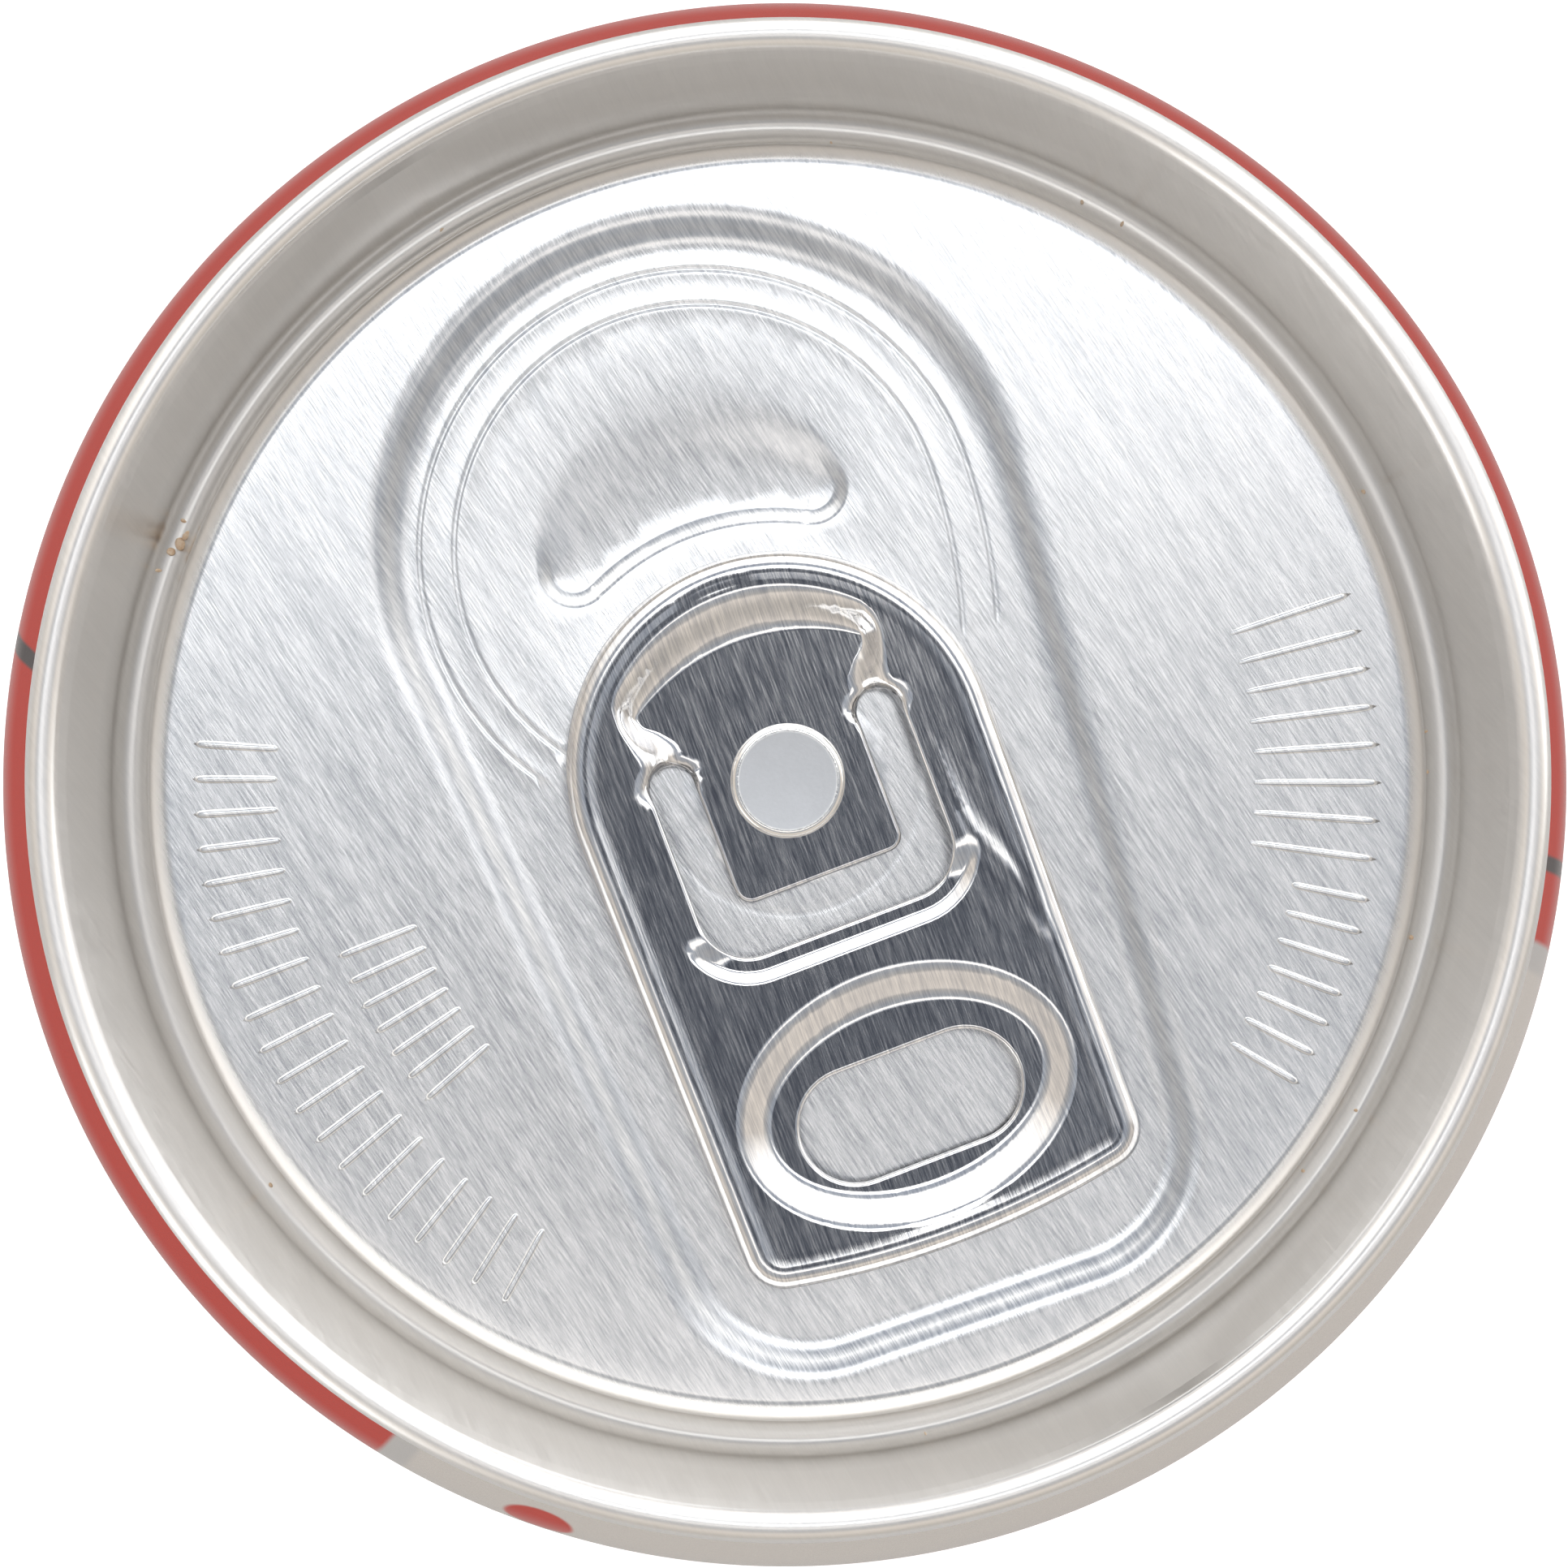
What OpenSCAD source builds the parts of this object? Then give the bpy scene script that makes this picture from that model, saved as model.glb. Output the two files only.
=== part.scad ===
// Shut drinks can with a stay-on tab.
// +Z is up, the origin is the middle of the foot, and the tab's nose and the mouth point to +Y.
// Millimetres. Profiles are [radius, height] points turned about Z.

/* [Can] */
// Height over the rim
can_h = 156; // [120:1:200]
// Diameter of the straight wall
body_d = 57.4; // [55:0.1:80]
// How much the neck is drawn in from the wall, on the radius
neck_in = 2.7; // [1.5:0.1:5]
// Straight neck under the rim
neck_len = 1.7; // [0.5:0.1:6]
// Lean of the shoulder's cone from upright
shoulder_lean = 25; // [20:1:45]
// Radius of the hollow bend at the neck
neck_bend_r = 5; // [2:0.5:5]
// Radius of the round bend at the top of the wall
shoulder_bend_r = 6; // [2:0.5:6]

/* [Base] */
// Diameter of the ring that the can stands on, at the middle of its flat
foot_d = 45.8; // [40:0.1:47]
// Width of the small flat on that ring
foot_flat = 0.8; // [0.4:0.1:1.5]
// Radius of the ring's rounded edges
foot_nose_r = 1.2; // [0.8:0.1:1.6]
// Slope of the cone outside the ring, from level
base_slope = 40; // [35:1:50]
// Radius between that cone and the wall
base_bend_r = 9; // [4:0.5:9]
// Height of the dome's middle above the ground
dome_h = 10; // [8:0.5:12]
// Radius of the dome
dome_r = 42; // [40:1:60]
// Radius where the dome meets the ring's inner wall
dome_bend_r = 1.6; // [1:0.1:3]

/* [Rim and countersink] */
// Height of the rolled rim
seam_h = 2.5; // [2.2:0.1:3.2]
// Thickness of the rolled rim
seam_thick = 1.2; // [1:0.05:1.5]
// How far the rim stands out past the neck
seam_overhang = 0.95; // [0.6:0.05:1.2]
// Depth from the rim's top to the bend where the inner wall starts to lean in
bend_depth = 2.4; // [1.8:0.1:2.5]
// How much the rim's inner face comes in down to that bend
bend_in = 0.14; // [0:0.02:0.4]
// Lean of the inner wall from upright
chuck_lean = 18; // [12:1:24]
// Depth from the rim's top to the bottom of the groove
countersink_depth = 6.86; // [6:0.02:8.4]
// Radius of the groove's round bottom
groove_r = 0.7; // [0.5:0.05:0.9]
// Depth from the rim's top to the flat panel
panel_depth = 4.47; // [3.8:0.01:5.4]
// Radius of the panel's rounded edge
panel_edge_bend_r = 0.85; // [0.5:0.05:1]
// Thickness of the lid's sheet
sheet = 0.24; // [0.2:0.01:0.32]

/* [Pressed panel] */
// Depth of the pressed recess under the tab
recess_depth = 0.38; // [0.3:0.01:0.6]
// Width of the sloped band round the recess
recess_slope_w = 1.3; // [0.8:0.1:1.8]
// Radius of the recess at the mouth
mouth_r = 12.1; // [11:0.1:12.4]
// Distance from the rivet to the middle of that radius
mouth_y = 9.1; // [8:0.1:9.2]
// Half the recess's width at the heel
heel_half_w = 10.2; // [9:0.1:12]
// Distance from the rivet to the recess's edge past the heel
heel_y = 20.9; // [20:0.1:21.2]
// Radius of the recess's corners at the heel
heel_corner_r = 5.6; // [3:0.1:8]
// Gap from the recess's floor edge to the score line
score_gap = 0.75; // [0.4:0.05:1.2]
// Distance from the score line to the second line inside it
score_step = 1.25; // [0.8:0.05:1.6]
// Width of a score line
score_w = 0.16; // [0.1:0.01:0.25]
// Depth of a score line
score_depth = 0.08; // [0.04:0.01:0.12]
// Radius of the bean-shaped bead's outer curve
bean_r = 5.9; // [5:0.1:6.5]
// Depth of that bead
bean_depth = 0.2; // [0.1:0.01:0.3]
// Height of the raised tick marks on the panel
tick_h = 0.06; // [0.03:0.01:0.1]
// Width of a tick mark
tick_w = 0.3; // [0.2:0.05:0.5]

/* [Rivet] */
// Diameter of the rivet's head
rivet_head_d = 4.1; // [3.8:0.1:5]
// Height of the head
rivet_head_h = 0.5; // [0.3:0.05:0.8]
// Diameter of the rivet's shank
rivet_shank_d = 3; // [2.6:0.1:3.4]
// Diameter of the raised ring of panel under the tongue
boss_d = 6.2; // [5.6:0.1:7]

/* [Tab] */
// Width over the curled edge
tab_w = 15.5; // [14:0.1:19]
// Distance from the rivet to the nose
tab_nose_len = 8.25; // [8:0.05:9]
// Distance from the rivet to the heel
tab_heel_len = 17.6; // [16:0.1:21.2]
// Angle that the tab is turned about the rivet
tab_turn = 1.3; // [-10:0.1:10]
// How much each side leans in towards the heel
side_lean = 0.9; // [0:0.1:3]
// Thickness over the curled edge
rim_thick = 1.2; // [1:0.05:1.5]
// Radius of the curl's path round the heel's corners
heel_bend_r = 0.9; // [0.7:0.1:2]
// Radius of the heel's slight bow
heel_bow_r = 32; // [25:1:60]
// Thickness of the tab's flat web
web_thick = 0.3; // [0.2:0.05:0.4]
// How far the web's top lies under the curl's top
web_drop = 0.05; // [0.03:0.01:0.3]
// Height of the tab's beads above the web
bead_h = 0.12; // [0.05:0.01:0.2]
// Air under the tab, above the flat panel
tab_gap = 0.15; // [0.05:0.05:0.5]
// Running gap round the rivet's shank
shank_gap = 0.05; // [0.02:0.01:0.2]

/* [Tab openings] */
// Half the width of the U-shaped opening
void_half_w = 4.75; // [4.4:0.05:5]
// Distance from the rivet to the far side of that opening
void_y = 5.5; // [5:0.1:6]
// Radius of its corners
void_corner_r = 1.8; // [1:0.1:2.2]
// Distance from the rivet to the rounded ends of its legs
leg_y = 1.2; // [0.8:0.1:2]
// Half the width of the tongue that the rivet holds
tongue_half_w = 3.15; // [2.8:0.05:3.3]
// Distance from the rivet to the tongue's free end
tongue_y = 3.65; // [3:0.05:4]
// Distance from the rivet to the tongue's root
tongue_root_y = 3.4; // [3:0.1:4]
// Radius of the tongue's corners
tongue_corner_r = 0.6; // [0.2:0.1:1]
// Distance from the rivet to the middle of the oval ring
ring_y = 12; // [11.5:0.1:13]
// Half the ring's length along the tab
ring_half_len = 4.6; // [4:0.1:4.7]
// Width of the ring at its sides
ring_side_w = 1.2; // [0.8:0.1:1.5]
// Width of the ring at its ends
ring_end_w = 1.45; // [1:0.05:1.8]
// Gap between the ring and the curled edge
ring_side_gap = 0.3; // [0.1:0.05:1]
// Width of the oval hole in the ring
hole_w = 8.2; // [6:0.1:9]
// Length of that hole along the tab
hole_len = 4; // [3:0.1:5]
// How far the hole sits past the ring's middle
hole_drop = 0.4; // [0:0.1:0.5]
// Width of the crescent bead at the nose
crescent_w = 1.8; // [1:0.1:2]
// Gap between the crescent and the curl's middle
crescent_gap = 0.55; // [0.4:0.05:1]
// How far the crescent's ends stop short of its circle
crescent_end_in = 1.8; // [1:0.1:2.5]
// Gap between the U-shaped opening and its bead
void_bead_gap = 0.4; // [0.2:0.05:0.6]
// Width of that bead
void_bead_w = 0.55; // [0.3:0.05:0.7]

/* [Hidden] */
$fn = 96;
eps = 0.05;

body_r = body_d / 2;
neck_r = body_r - neck_in;
foot_r = foot_d / 2;
seam_r = neck_r + seam_overhang;
seam_z = can_h - seam_h;
seam_crest_r = seam_thick / 2;
seam_lip_r = 0.3;
bend_r = seam_r - seam_thick - bend_in;
bend_z = can_h - bend_depth;
groove_z = can_h - countersink_depth + groove_r;
chuck_run = (bend_z - groove_z + groove_r * sin(chuck_lean)) / cos(chuck_lean);
groove_x = bend_r - chuck_run * sin(chuck_lean) - groove_r * cos(chuck_lean);
panel_z = can_h - panel_depth;
panel_bend_x = groove_x - groove_r - panel_edge_bend_r;
floor_z = panel_z - recess_depth;

floor_r = mouth_r - recess_slope_w;
score_mid = [-0.2, mouth_y - 0.2];
score_r = floor_r - score_gap;
score_left = 215;
score_end_drop = 5.8;
score_straighten = 12;

nose_r = tab_w / 2;
nose_y = tab_nose_len - nose_r;
rim_r = rim_thick / 2;
rim_path_r = nose_r - rim_r;
tab_z = panel_z + tab_gap;
rim_z = tab_z + rim_r;
web_top = tab_z + rim_thick - web_drop;
web_z = web_top - web_thick;
leg_x = (void_half_w + tongue_half_w) / 2;
leg_r = (void_half_w - tongue_half_w) / 2;

// Tick rows on the panel: first and last angle, inner radius in from the panel's edge, length, count.
tick_rows = [
    [157, 222, 4, 3.2, 20],
    [182, 202, 8, 3.2, 7],
    [-1, -27, 5.7, 4.9, 8],
    [-31, -50, 3.8, 3, 7]
];

// Points along an arc from angle a to angle b.
function arc(mid, r, a, b, steps) =
    [for (i = [0:steps]) let (t = a + (b - a) * i / steps) mid + r * [cos(t), sin(t)]];

// The same points in the other order.
function backwards(points) = [for (i = [len(points) - 1:-1:0]) points[i]];

// Points round an ellipse.
function ellipse(mid, a, b, steps) =
    [for (i = [0:steps - 1]) let (t = 360 * i / steps) mid + [a * cos(t), b * sin(t)]];

// Dome, foot ring and the cone up to the wall.
dome_mid_z = dome_h - dome_r;
foot_inner_r = foot_r - foot_flat / 2 - foot_nose_r;
dome_bend_x = foot_inner_r - dome_bend_r;
dome_bend_up = sqrt(pow(dome_r - dome_bend_r, 2) - pow(dome_bend_x, 2));
dome_edge_angle = atan2(dome_bend_up, dome_bend_x);
foot_out_x = foot_r + foot_flat / 2;
cone_start = [foot_out_x + foot_nose_r * sin(base_slope), foot_nose_r * (1 - cos(base_slope))];
cone_end_x = body_r - base_bend_r * (1 - sin(base_slope));
wall_z = cone_start[1] + (cone_end_x - cone_start[0]) * tan(base_slope) + base_bend_r * cos(base_slope);

function base_points() = concat(
    arc([0, dome_mid_z], dome_r, 90, dome_edge_angle, 12),
    arc([dome_bend_x, dome_mid_z + dome_bend_up], dome_bend_r, dome_edge_angle, 0, 6),
    arc([foot_r - foot_flat / 2, foot_nose_r], foot_nose_r, 180, 270, 6),
    arc([foot_out_x, foot_nose_r], foot_nose_r, 270, 270 + base_slope, 4),
    arc([body_r - base_bend_r, wall_z], base_bend_r, 270 + base_slope, 360, 8)
);

// Shoulder and neck, from the wall up to the rim.
neck_z = seam_z - neck_len;
bends_in = (neck_bend_r + shoulder_bend_r) * (1 - cos(shoulder_lean));
bends_up = (neck_bend_r + shoulder_bend_r) * sin(shoulder_lean);
shoulder_z = neck_z - bends_up - (neck_in - bends_in) / tan(shoulder_lean);

function shoulder_points() = concat(
    arc([body_r - shoulder_bend_r, shoulder_z], shoulder_bend_r, 0, shoulder_lean, 5),
    arc([neck_r + neck_bend_r, neck_z], neck_bend_r, 180 + shoulder_lean, 180, 5),
    [[neck_r, seam_z]]
);

// The lid's sheet from the inner wall to the middle; out is 0 for its top and the sheet for its underside.
function dish_points(out) = concat(
    arc([groove_x, groove_z], groove_r + out, -chuck_lean, -180, 12),
    arc([panel_bend_x, panel_z - panel_edge_bend_r], panel_edge_bend_r - out, 0, 90, 6),
    [[0, panel_z - out]]
);

// Where the underside of the inner wall leaves the rim.
underside_start = [bend_r - (bend_z - seam_z) * tan(chuck_lean) + sheet / cos(chuck_lean), seam_z];

function rim_points() = concat(
    arc([seam_r - seam_lip_r, seam_z + seam_lip_r], seam_lip_r, -90, 0, 4),
    arc([seam_r - seam_crest_r, can_h - seam_crest_r], seam_crest_r, 0, 180, 12),
    [[bend_r, bend_z]]
);

// Wall, base and drink in one solid, shut by the lid.
module body() {
    color("crimson")
    difference() {
        rotate_extrude()
            polygon(concat(
                base_points(),
                shoulder_points(),
                [underside_start],
                dish_points(sheet)
            ));
        recess(sheet);
    }
}

// The pressed recess: a mouth arc and two heel corners, wider at the top, grown all round by out.
module recess(out) {
    h = recess_depth + (out > 0 ? out / 2 : eps);
    widen = recess_slope_w * h / recess_depth;
    translate([0, 0, floor_z - out])
        hull() {
            recess_corner([0, mouth_y], floor_r + out, h, widen);
            for (side = [-1, 1])
                recess_corner(
                    [side * (heel_half_w - heel_corner_r), heel_corner_r - heel_y],
                    heel_corner_r - recess_slope_w + out, h, widen
                );
        }
}

module recess_corner(mid, r, h, widen) {
    translate([mid[0], mid[1], 0])
        cylinder(h = h, r1 = r, r2 = r + widen, $fn = 64);
}

// Lid: rolled rim, groove, panel, pressed features and the rivet, all one sheet.
module end() {
    color("silver")
    difference() {
        union() {
            rotate_extrude()
                polygon(concat(
                    rim_points(),
                    dish_points(0),
                    backwards(dish_points(sheet)),
                    [underside_start]
                ));
            recess(sheet);
            ticks();
        }
        recess(0);
        score_line(score_r);
        score_line(score_r - score_step);
        bean();
    }
    color("silver")
        rivet();
}

// One score line: a round stretch, then a flatter one down the right-hand side.
module score_line(r) {
    end_r = r + score_straighten;
    translate([score_mid[0], score_mid[1], floor_z]) {
        score_cut(r, score_left);
        translate([r - end_r, 0, 0])
            rotate([0, 0, -asin(score_end_drop / end_r)])
                score_cut(end_r, asin(score_end_drop / end_r));
    }
}

module score_cut(r, angle) {
    rotate_extrude(angle = angle)
        translate([r, 0])
            polygon([[-score_w / 2, eps], [0, -score_depth], [score_w / 2, eps]]);
}

// Bean-shaped bead on the mouth's panel, hollow side round the tab's nose.
module bean() {
    bean_y = tab_nose_len + 1.05;
    lobe_r = 1.4;
    lobe_x = bean_r - lobe_r;
    lobe_y = bean_y + 0.35;
    nose_gap = 0.7;
    translate([score_mid[0], 0, floor_z - bean_depth])
        linear_extrude(bean_depth + eps) {
            difference() {
                translate([0, bean_y])
                    circle(bean_r);
                translate([0, nose_y + 0.2])
                    circle(nose_r + nose_gap);
                for (side = [-1, 1])
                    translate([side * bean_r, lobe_y - bean_r])
                        square([2 * lobe_r, 2 * bean_r], center = true);
            }
            for (side = [-1, 1])
                translate([side * lobe_x, lobe_y])
                    circle(lobe_r);
        }
}

// Rows of plain raised tick marks near the panel's edge.
module ticks() {
    for (row = tick_rows)
        for (i = [0:row[4] - 1])
            rotate([0, 0, row[0] + (row[1] - row[0]) * i / (row[4] - 1)])
                translate([panel_bend_x - row[2], -tick_w / 2, panel_z - sheet / 2])
                    cube([row[3], tick_w, sheet / 2 + tick_h]);
}

// Raised ring of panel, shank and flattened head, formed from the lid's own sheet.
module rivet() {
    tongue_top = tab_z + web_thick;
    edge_r = rivet_head_h / 2;
    head_r = rivet_head_d / 2;
    boss_r = boss_d / 2;
    rotate_extrude()
        polygon(concat(
            [[0, floor_z - sheet / 2], [boss_r, floor_z - sheet / 2], [boss_r, floor_z]],
            [[boss_r - (tab_z - floor_z), tab_z], [rivet_shank_d / 2, tab_z]],
            [[rivet_shank_d / 2, tongue_top]],
            arc([head_r - edge_r, tongue_top + edge_r], edge_r, -90, 90, 8),
            [[0, tongue_top + rivet_head_h]]
        ));
}

// Tab: curled edge, web with beads, and the low tongue under the rivet's head.
module tab() {
    color("gainsboro")
    rotate([0, 0, tab_turn]) {
        tab_rim();
        tab_beads();
        tab_tongue();
    }
}

// Path of the curl's middle: nose arc, leaning sides, tight heel corners and a slightly bowed heel.
side_out = [cos(side_lean), -sin(side_lean)];
side_down = [-sin(side_lean), -cos(side_lean)];
nose_mid = [0, nose_y];
bow_mid = [0, rim_r - tab_heel_len + heel_bow_r];
corner_in = rim_path_r - heel_bend_r;
bow_up = bow_mid[1] - nose_y;
side_len = -bow_up * cos(side_lean) + sqrt(
    pow(heel_bow_r - heel_bend_r, 2) - pow(bow_up * sin(side_lean) + corner_in, 2)
);
corner_mid = nose_mid + corner_in * side_out + side_len * side_down;
corner_to_bow = corner_mid - bow_mid;
bow_angle = atan2(corner_to_bow[1], corner_to_bow[0]);

// Half of the path, moved outwards by out.
function half_path(out) = concat(
    arc(bow_mid, heel_bow_r + out, -90, bow_angle, 5),
    arc(corner_mid, heel_bend_r + out, bow_angle, -side_lean, 5),
    arc(nose_mid, rim_path_r + out, -side_lean, 90, 18)
);

function mirrored(points) = [for (p = points) [-p[0], p[1]]];

module tab_outline(out) {
    half = half_path(out);
    polygon(concat(half, backwards(mirrored(half))));
}

// Curled edge and web: a round-edged plate, hollowed from below and very slightly from above.
module tab_rim() {
    round_steps = 3;
    difference() {
        hull()
            for (i = [0:round_steps]) {
                turn = 90 * i / round_steps;
                band_h = max(rim_thick * sin(turn), eps);
                translate([0, 0, rim_z - band_h / 2])
                    linear_extrude(band_h)
                        tab_outline(rim_r * cos(turn));
            }
        translate([0, 0, tab_z - eps])
            linear_extrude(web_z - tab_z + eps)
                tab_outline(-rim_r);
        translate([0, 0, web_top])
            linear_extrude(web_drop + eps)
                tab_outline(-rim_r / 2);
        translate([0, 0, tab_z - eps])
            linear_extrude(rim_thick + 2 * eps) {
                web_opening();
                ring_hole();
            }
    }
}

// Beads that stiffen the web.
module tab_beads() {
    translate([0, 0, web_top - web_thick / 2])
        linear_extrude(web_thick / 2 + bead_h) {
            ring_bead();
            nose_bead();
            void_bead();
        }
}

// The lower two corners of a rounded plate, from its left side round to its right side.
function low_corners(half_w, low_y, r) = concat(
    arc([r - half_w, low_y + r], r, 180, 270, 6),
    arc([half_w - r, low_y + r], r, 270, 360, 6)
);

// Opening that the U-shaped gap and the low tongue share.
module web_opening() {
    polygon(concat(
        low_corners(void_half_w, -void_y, void_corner_r),
        arc([leg_x, leg_y], leg_r, 0, 180, 10),
        [[tongue_half_w, tongue_root_y], [-tongue_half_w, tongue_root_y]],
        arc([-leg_x, leg_y], leg_r, 0, 180, 10)
    ));
}

// Oval bead round the finger hole.
module ring_bead() {
    mid = [0, -ring_y];
    half_w = nose_r - rim_thick - ring_side_gap;
    difference() {
        polygon(ellipse(mid, half_w, ring_half_len, 40));
        polygon(ellipse(mid, half_w - ring_side_w, ring_half_len - ring_end_w, 40));
    }
}

module ring_hole() {
    end_r = hole_len / 2;
    end_x = hole_w / 2 - end_r;
    hole_y = -ring_y - hole_drop;
    polygon(concat(
        arc([end_x, hole_y], end_r, -90, 90, 12),
        arc([-end_x, hole_y], end_r, 90, 270, 12)
    ));
}

// Crescent bead that stiffens the nose.
module nose_bead() {
    out_r = rim_path_r - crescent_gap;
    in_r = nose_r;
    in_mid = [0, nose_y + out_r - crescent_w - in_r];
    half_w = out_r - crescent_end_in;
    out_angle = acos(half_w / out_r);
    in_angle = acos(half_w / in_r);
    polygon(concat(
        arc(nose_mid, out_r, out_angle, 180 - out_angle, 14),
        arc(in_mid, in_r, 180 - in_angle, in_angle, 12)
    ));
}

// Narrow bead that follows the far side of the U-shaped gap.
module void_bead() {
    mid_x = void_half_w - void_corner_r;
    mid_y = void_corner_r - void_y;
    in_r = void_corner_r + void_bead_gap;
    out_r = in_r + void_bead_w;
    polygon(concat(
        arc([-mid_x, mid_y], out_r, 190, 270, 7),
        arc([mid_x, mid_y], out_r, 270, 350, 7),
        arc([mid_x, mid_y], in_r, 350, 270, 7),
        arc([-mid_x, mid_y], in_r, 270, 190, 7)
    ));
}

// Low tongue that the rivet clamps, joined to the web by a short riser on the nose side.
module tab_tongue() {
    difference() {
        union() {
            translate([0, 0, tab_z])
                linear_extrude(web_thick)
                    polygon(concat(
                        low_corners(tongue_half_w, -tongue_y, tongue_corner_r),
                        [[tongue_half_w, tongue_root_y + web_thick]],
                        [[-tongue_half_w, tongue_root_y + web_thick]]
                    ));
            translate([-tongue_half_w, tongue_root_y, tab_z])
                cube([2 * tongue_half_w, web_thick, web_top - tab_z - web_thick / 2]);
        }
        translate([0, 0, tab_z - eps])
            cylinder(h = web_thick + 2 * eps, d = rivet_shank_d + 2 * shank_gap);
    }
}

body();
end();
tab();
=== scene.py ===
import math

import bmesh
import bpy
import numpy as np
from mathutils import Matrix, Vector
from mathutils.geometry import delaunay_2d_cdt


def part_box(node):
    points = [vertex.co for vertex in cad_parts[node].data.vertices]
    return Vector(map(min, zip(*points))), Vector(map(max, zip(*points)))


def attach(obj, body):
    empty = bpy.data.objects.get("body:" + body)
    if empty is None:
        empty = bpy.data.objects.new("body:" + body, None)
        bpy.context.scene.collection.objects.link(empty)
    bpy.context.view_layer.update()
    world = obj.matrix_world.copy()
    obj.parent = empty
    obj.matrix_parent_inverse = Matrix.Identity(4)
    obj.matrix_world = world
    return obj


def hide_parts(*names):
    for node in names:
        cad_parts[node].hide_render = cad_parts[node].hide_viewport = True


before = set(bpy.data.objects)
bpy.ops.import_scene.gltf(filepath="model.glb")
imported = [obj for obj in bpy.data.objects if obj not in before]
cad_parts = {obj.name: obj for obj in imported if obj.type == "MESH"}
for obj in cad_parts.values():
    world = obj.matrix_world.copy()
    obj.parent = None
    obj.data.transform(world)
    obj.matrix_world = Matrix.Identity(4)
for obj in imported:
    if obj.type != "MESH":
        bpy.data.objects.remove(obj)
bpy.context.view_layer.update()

MM = 0.001
TURN_STEPS = 288
CRISP_ANGLE = math.radians(55)

body_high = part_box("body")[1]
end_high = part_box("end")[1]
can_h = end_high[2] / MM
body_r = body_high[0] / MM
seam_r = end_high[0] / MM
seam_z = body_high[2] / MM

# Base, shoulder and neck
foot_r = 22.9
foot_flat = 0.8
foot_nose_r = 1.2
base_slope = 40
base_bend_r = 9
dome_h = 10
dome_r = 42
dome_bend_r = 1.6
neck_r = seam_r - 0.95
neck_len = 1.7
shoulder_lean = 25
neck_bend_r = 5
shoulder_bend_r = 6

# Rim, groove and panel
seam_crest_r = 0.6
seam_lip_r = 0.3
bend_r = seam_r - 1.34
bend_z = can_h - 2.4
chuck_lean = 18
groove_r = 0.7
groove_z = can_h - 6.86 + groove_r
panel_z = can_h - 4.47
panel_bend_r = 0.85
sheet = 0.24
recess_depth = 0.32
crown = 0.2
recess_slope_w = 1.6
floor_z = panel_z - recess_depth
mouth_y = 9.1
mouth_r = 12.1
score_x = -0.2
score_y = 8.9
score_r = 10.05
score_step = 1.25
score_w = 0.16
score_depth = 0.03
bean_depth = 0.16
tear_fall = 0.10
tear_fall_w = 6.0
coin_line = 0.008

# Rivet and the lid's sheet round it
boss_r = 3.1
boss_slope_w = 0.5
coined_r = 4.75
rivet_r = 2.05
rivet_h = 0.5
shank_r = 1.5
shank_hole_r = 1.55

# Tab
tab_z = panel_z + 0.15
tab_turn = 1.3
tab_thick = 1.2
curl_r = tab_thick / 2
web_thick = 0.3
web_top = tab_thick - 0.03
nose_y = 0.5
nose_r = 7.75
side_lean = 0.9
heel_y = -17.6
heel_corner_r = 1.5
heel_bow_r = 32.6
ring_y = -12.0
ring_drop = 0.52
hole_y = ring_y - 0.4
hole_end_x = 2.1
hole_end_r = 2
void_half_w = 4.75
void_low_y = -5.5
void_corner_r = 1.8
tongue_half_w = 3.15
tongue_low_y = -3.65
tongue_corner_r = 0.6
arm_top_y = 1.2
flange_w = 0.98
flange_slope_w = 0.45
flange_drop = 0.22
edge_round_r = 0.14
crease_h = 0.022
bar_depth = 0.009

# Small raised marks on the panel
tick_w = 0.3
tick_h = 0.06

# Print: heights in millimetres, places round the wall in degrees from the front
print_low_z = 5.7
slant_z = 147.0
slant = -0.55
wave_len = 150
wave_swing = 9.0
silver_at = 3.0
silver_half = 52.4
edge_half = 54.6
low_line_at = 63.5
dark_line_at = -118.6
drop_at = -38.0
drop_z = 145.6


def arc(mid, r, start, stop, steps):
    """Points along an arc; angles are degrees."""
    angles = [math.radians(start + (stop - start) * i / steps) for i in range(steps + 1)]
    return [(mid[0] + r * math.cos(a), mid[1] + r * math.sin(a)) for a in angles]


def spaced(line, gap, closed=True):
    """The same line with points added so that none are further apart than gap."""
    ends = line[1:] + line[:1] if closed else line[1:]
    out = []
    for (x0, y0), (x1, y1) in zip(line, ends):
        count = max(1, math.ceil(math.hypot(x1 - x0, y1 - y0) / gap))
        out += [(x0 + (x1 - x0) * i / count, y0 + (y1 - y0) * i / count) for i in range(count)]
    return out if closed else out + [line[-1]]


def mirrored(line):
    return [(-x, y) for x, y in line]


# ---------- plan-view maths for the pressed sheets ----------

def gap_to_line(points, line, closed=True):
    """Distance from each point to the nearest part of a line."""
    a = np.array(line)
    b = np.roll(a, -1, axis=0)
    if not closed:
        a, b = a[:-1], b[:-1]
    along = b - a
    size = np.maximum((along**2).sum(1), 1e-12)
    nearest = np.full(len(points), 1e9)
    for i in range(len(a)):
        rel = points - a[i]
        t = np.clip(rel @ along[i] / size[i], 0, 1)
        nearest = np.minimum(nearest, np.hypot(*(rel - t[:, None] * along[i]).T))
    return nearest


def inside(points, loop):
    """Which points lie inside a closed loop."""
    x, y = points.T
    hit = np.zeros(len(points), bool)
    for (x0, y0), (x1, y1) in zip(loop, loop[1:] + loop[:1]):
        if y0 != y1:
            crosses = (y0 > y) != (y1 > y)
            hit ^= crosses & (x < (x1 - x0) * (y - y0) / (y1 - y0) + x0)
    return hit


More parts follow.
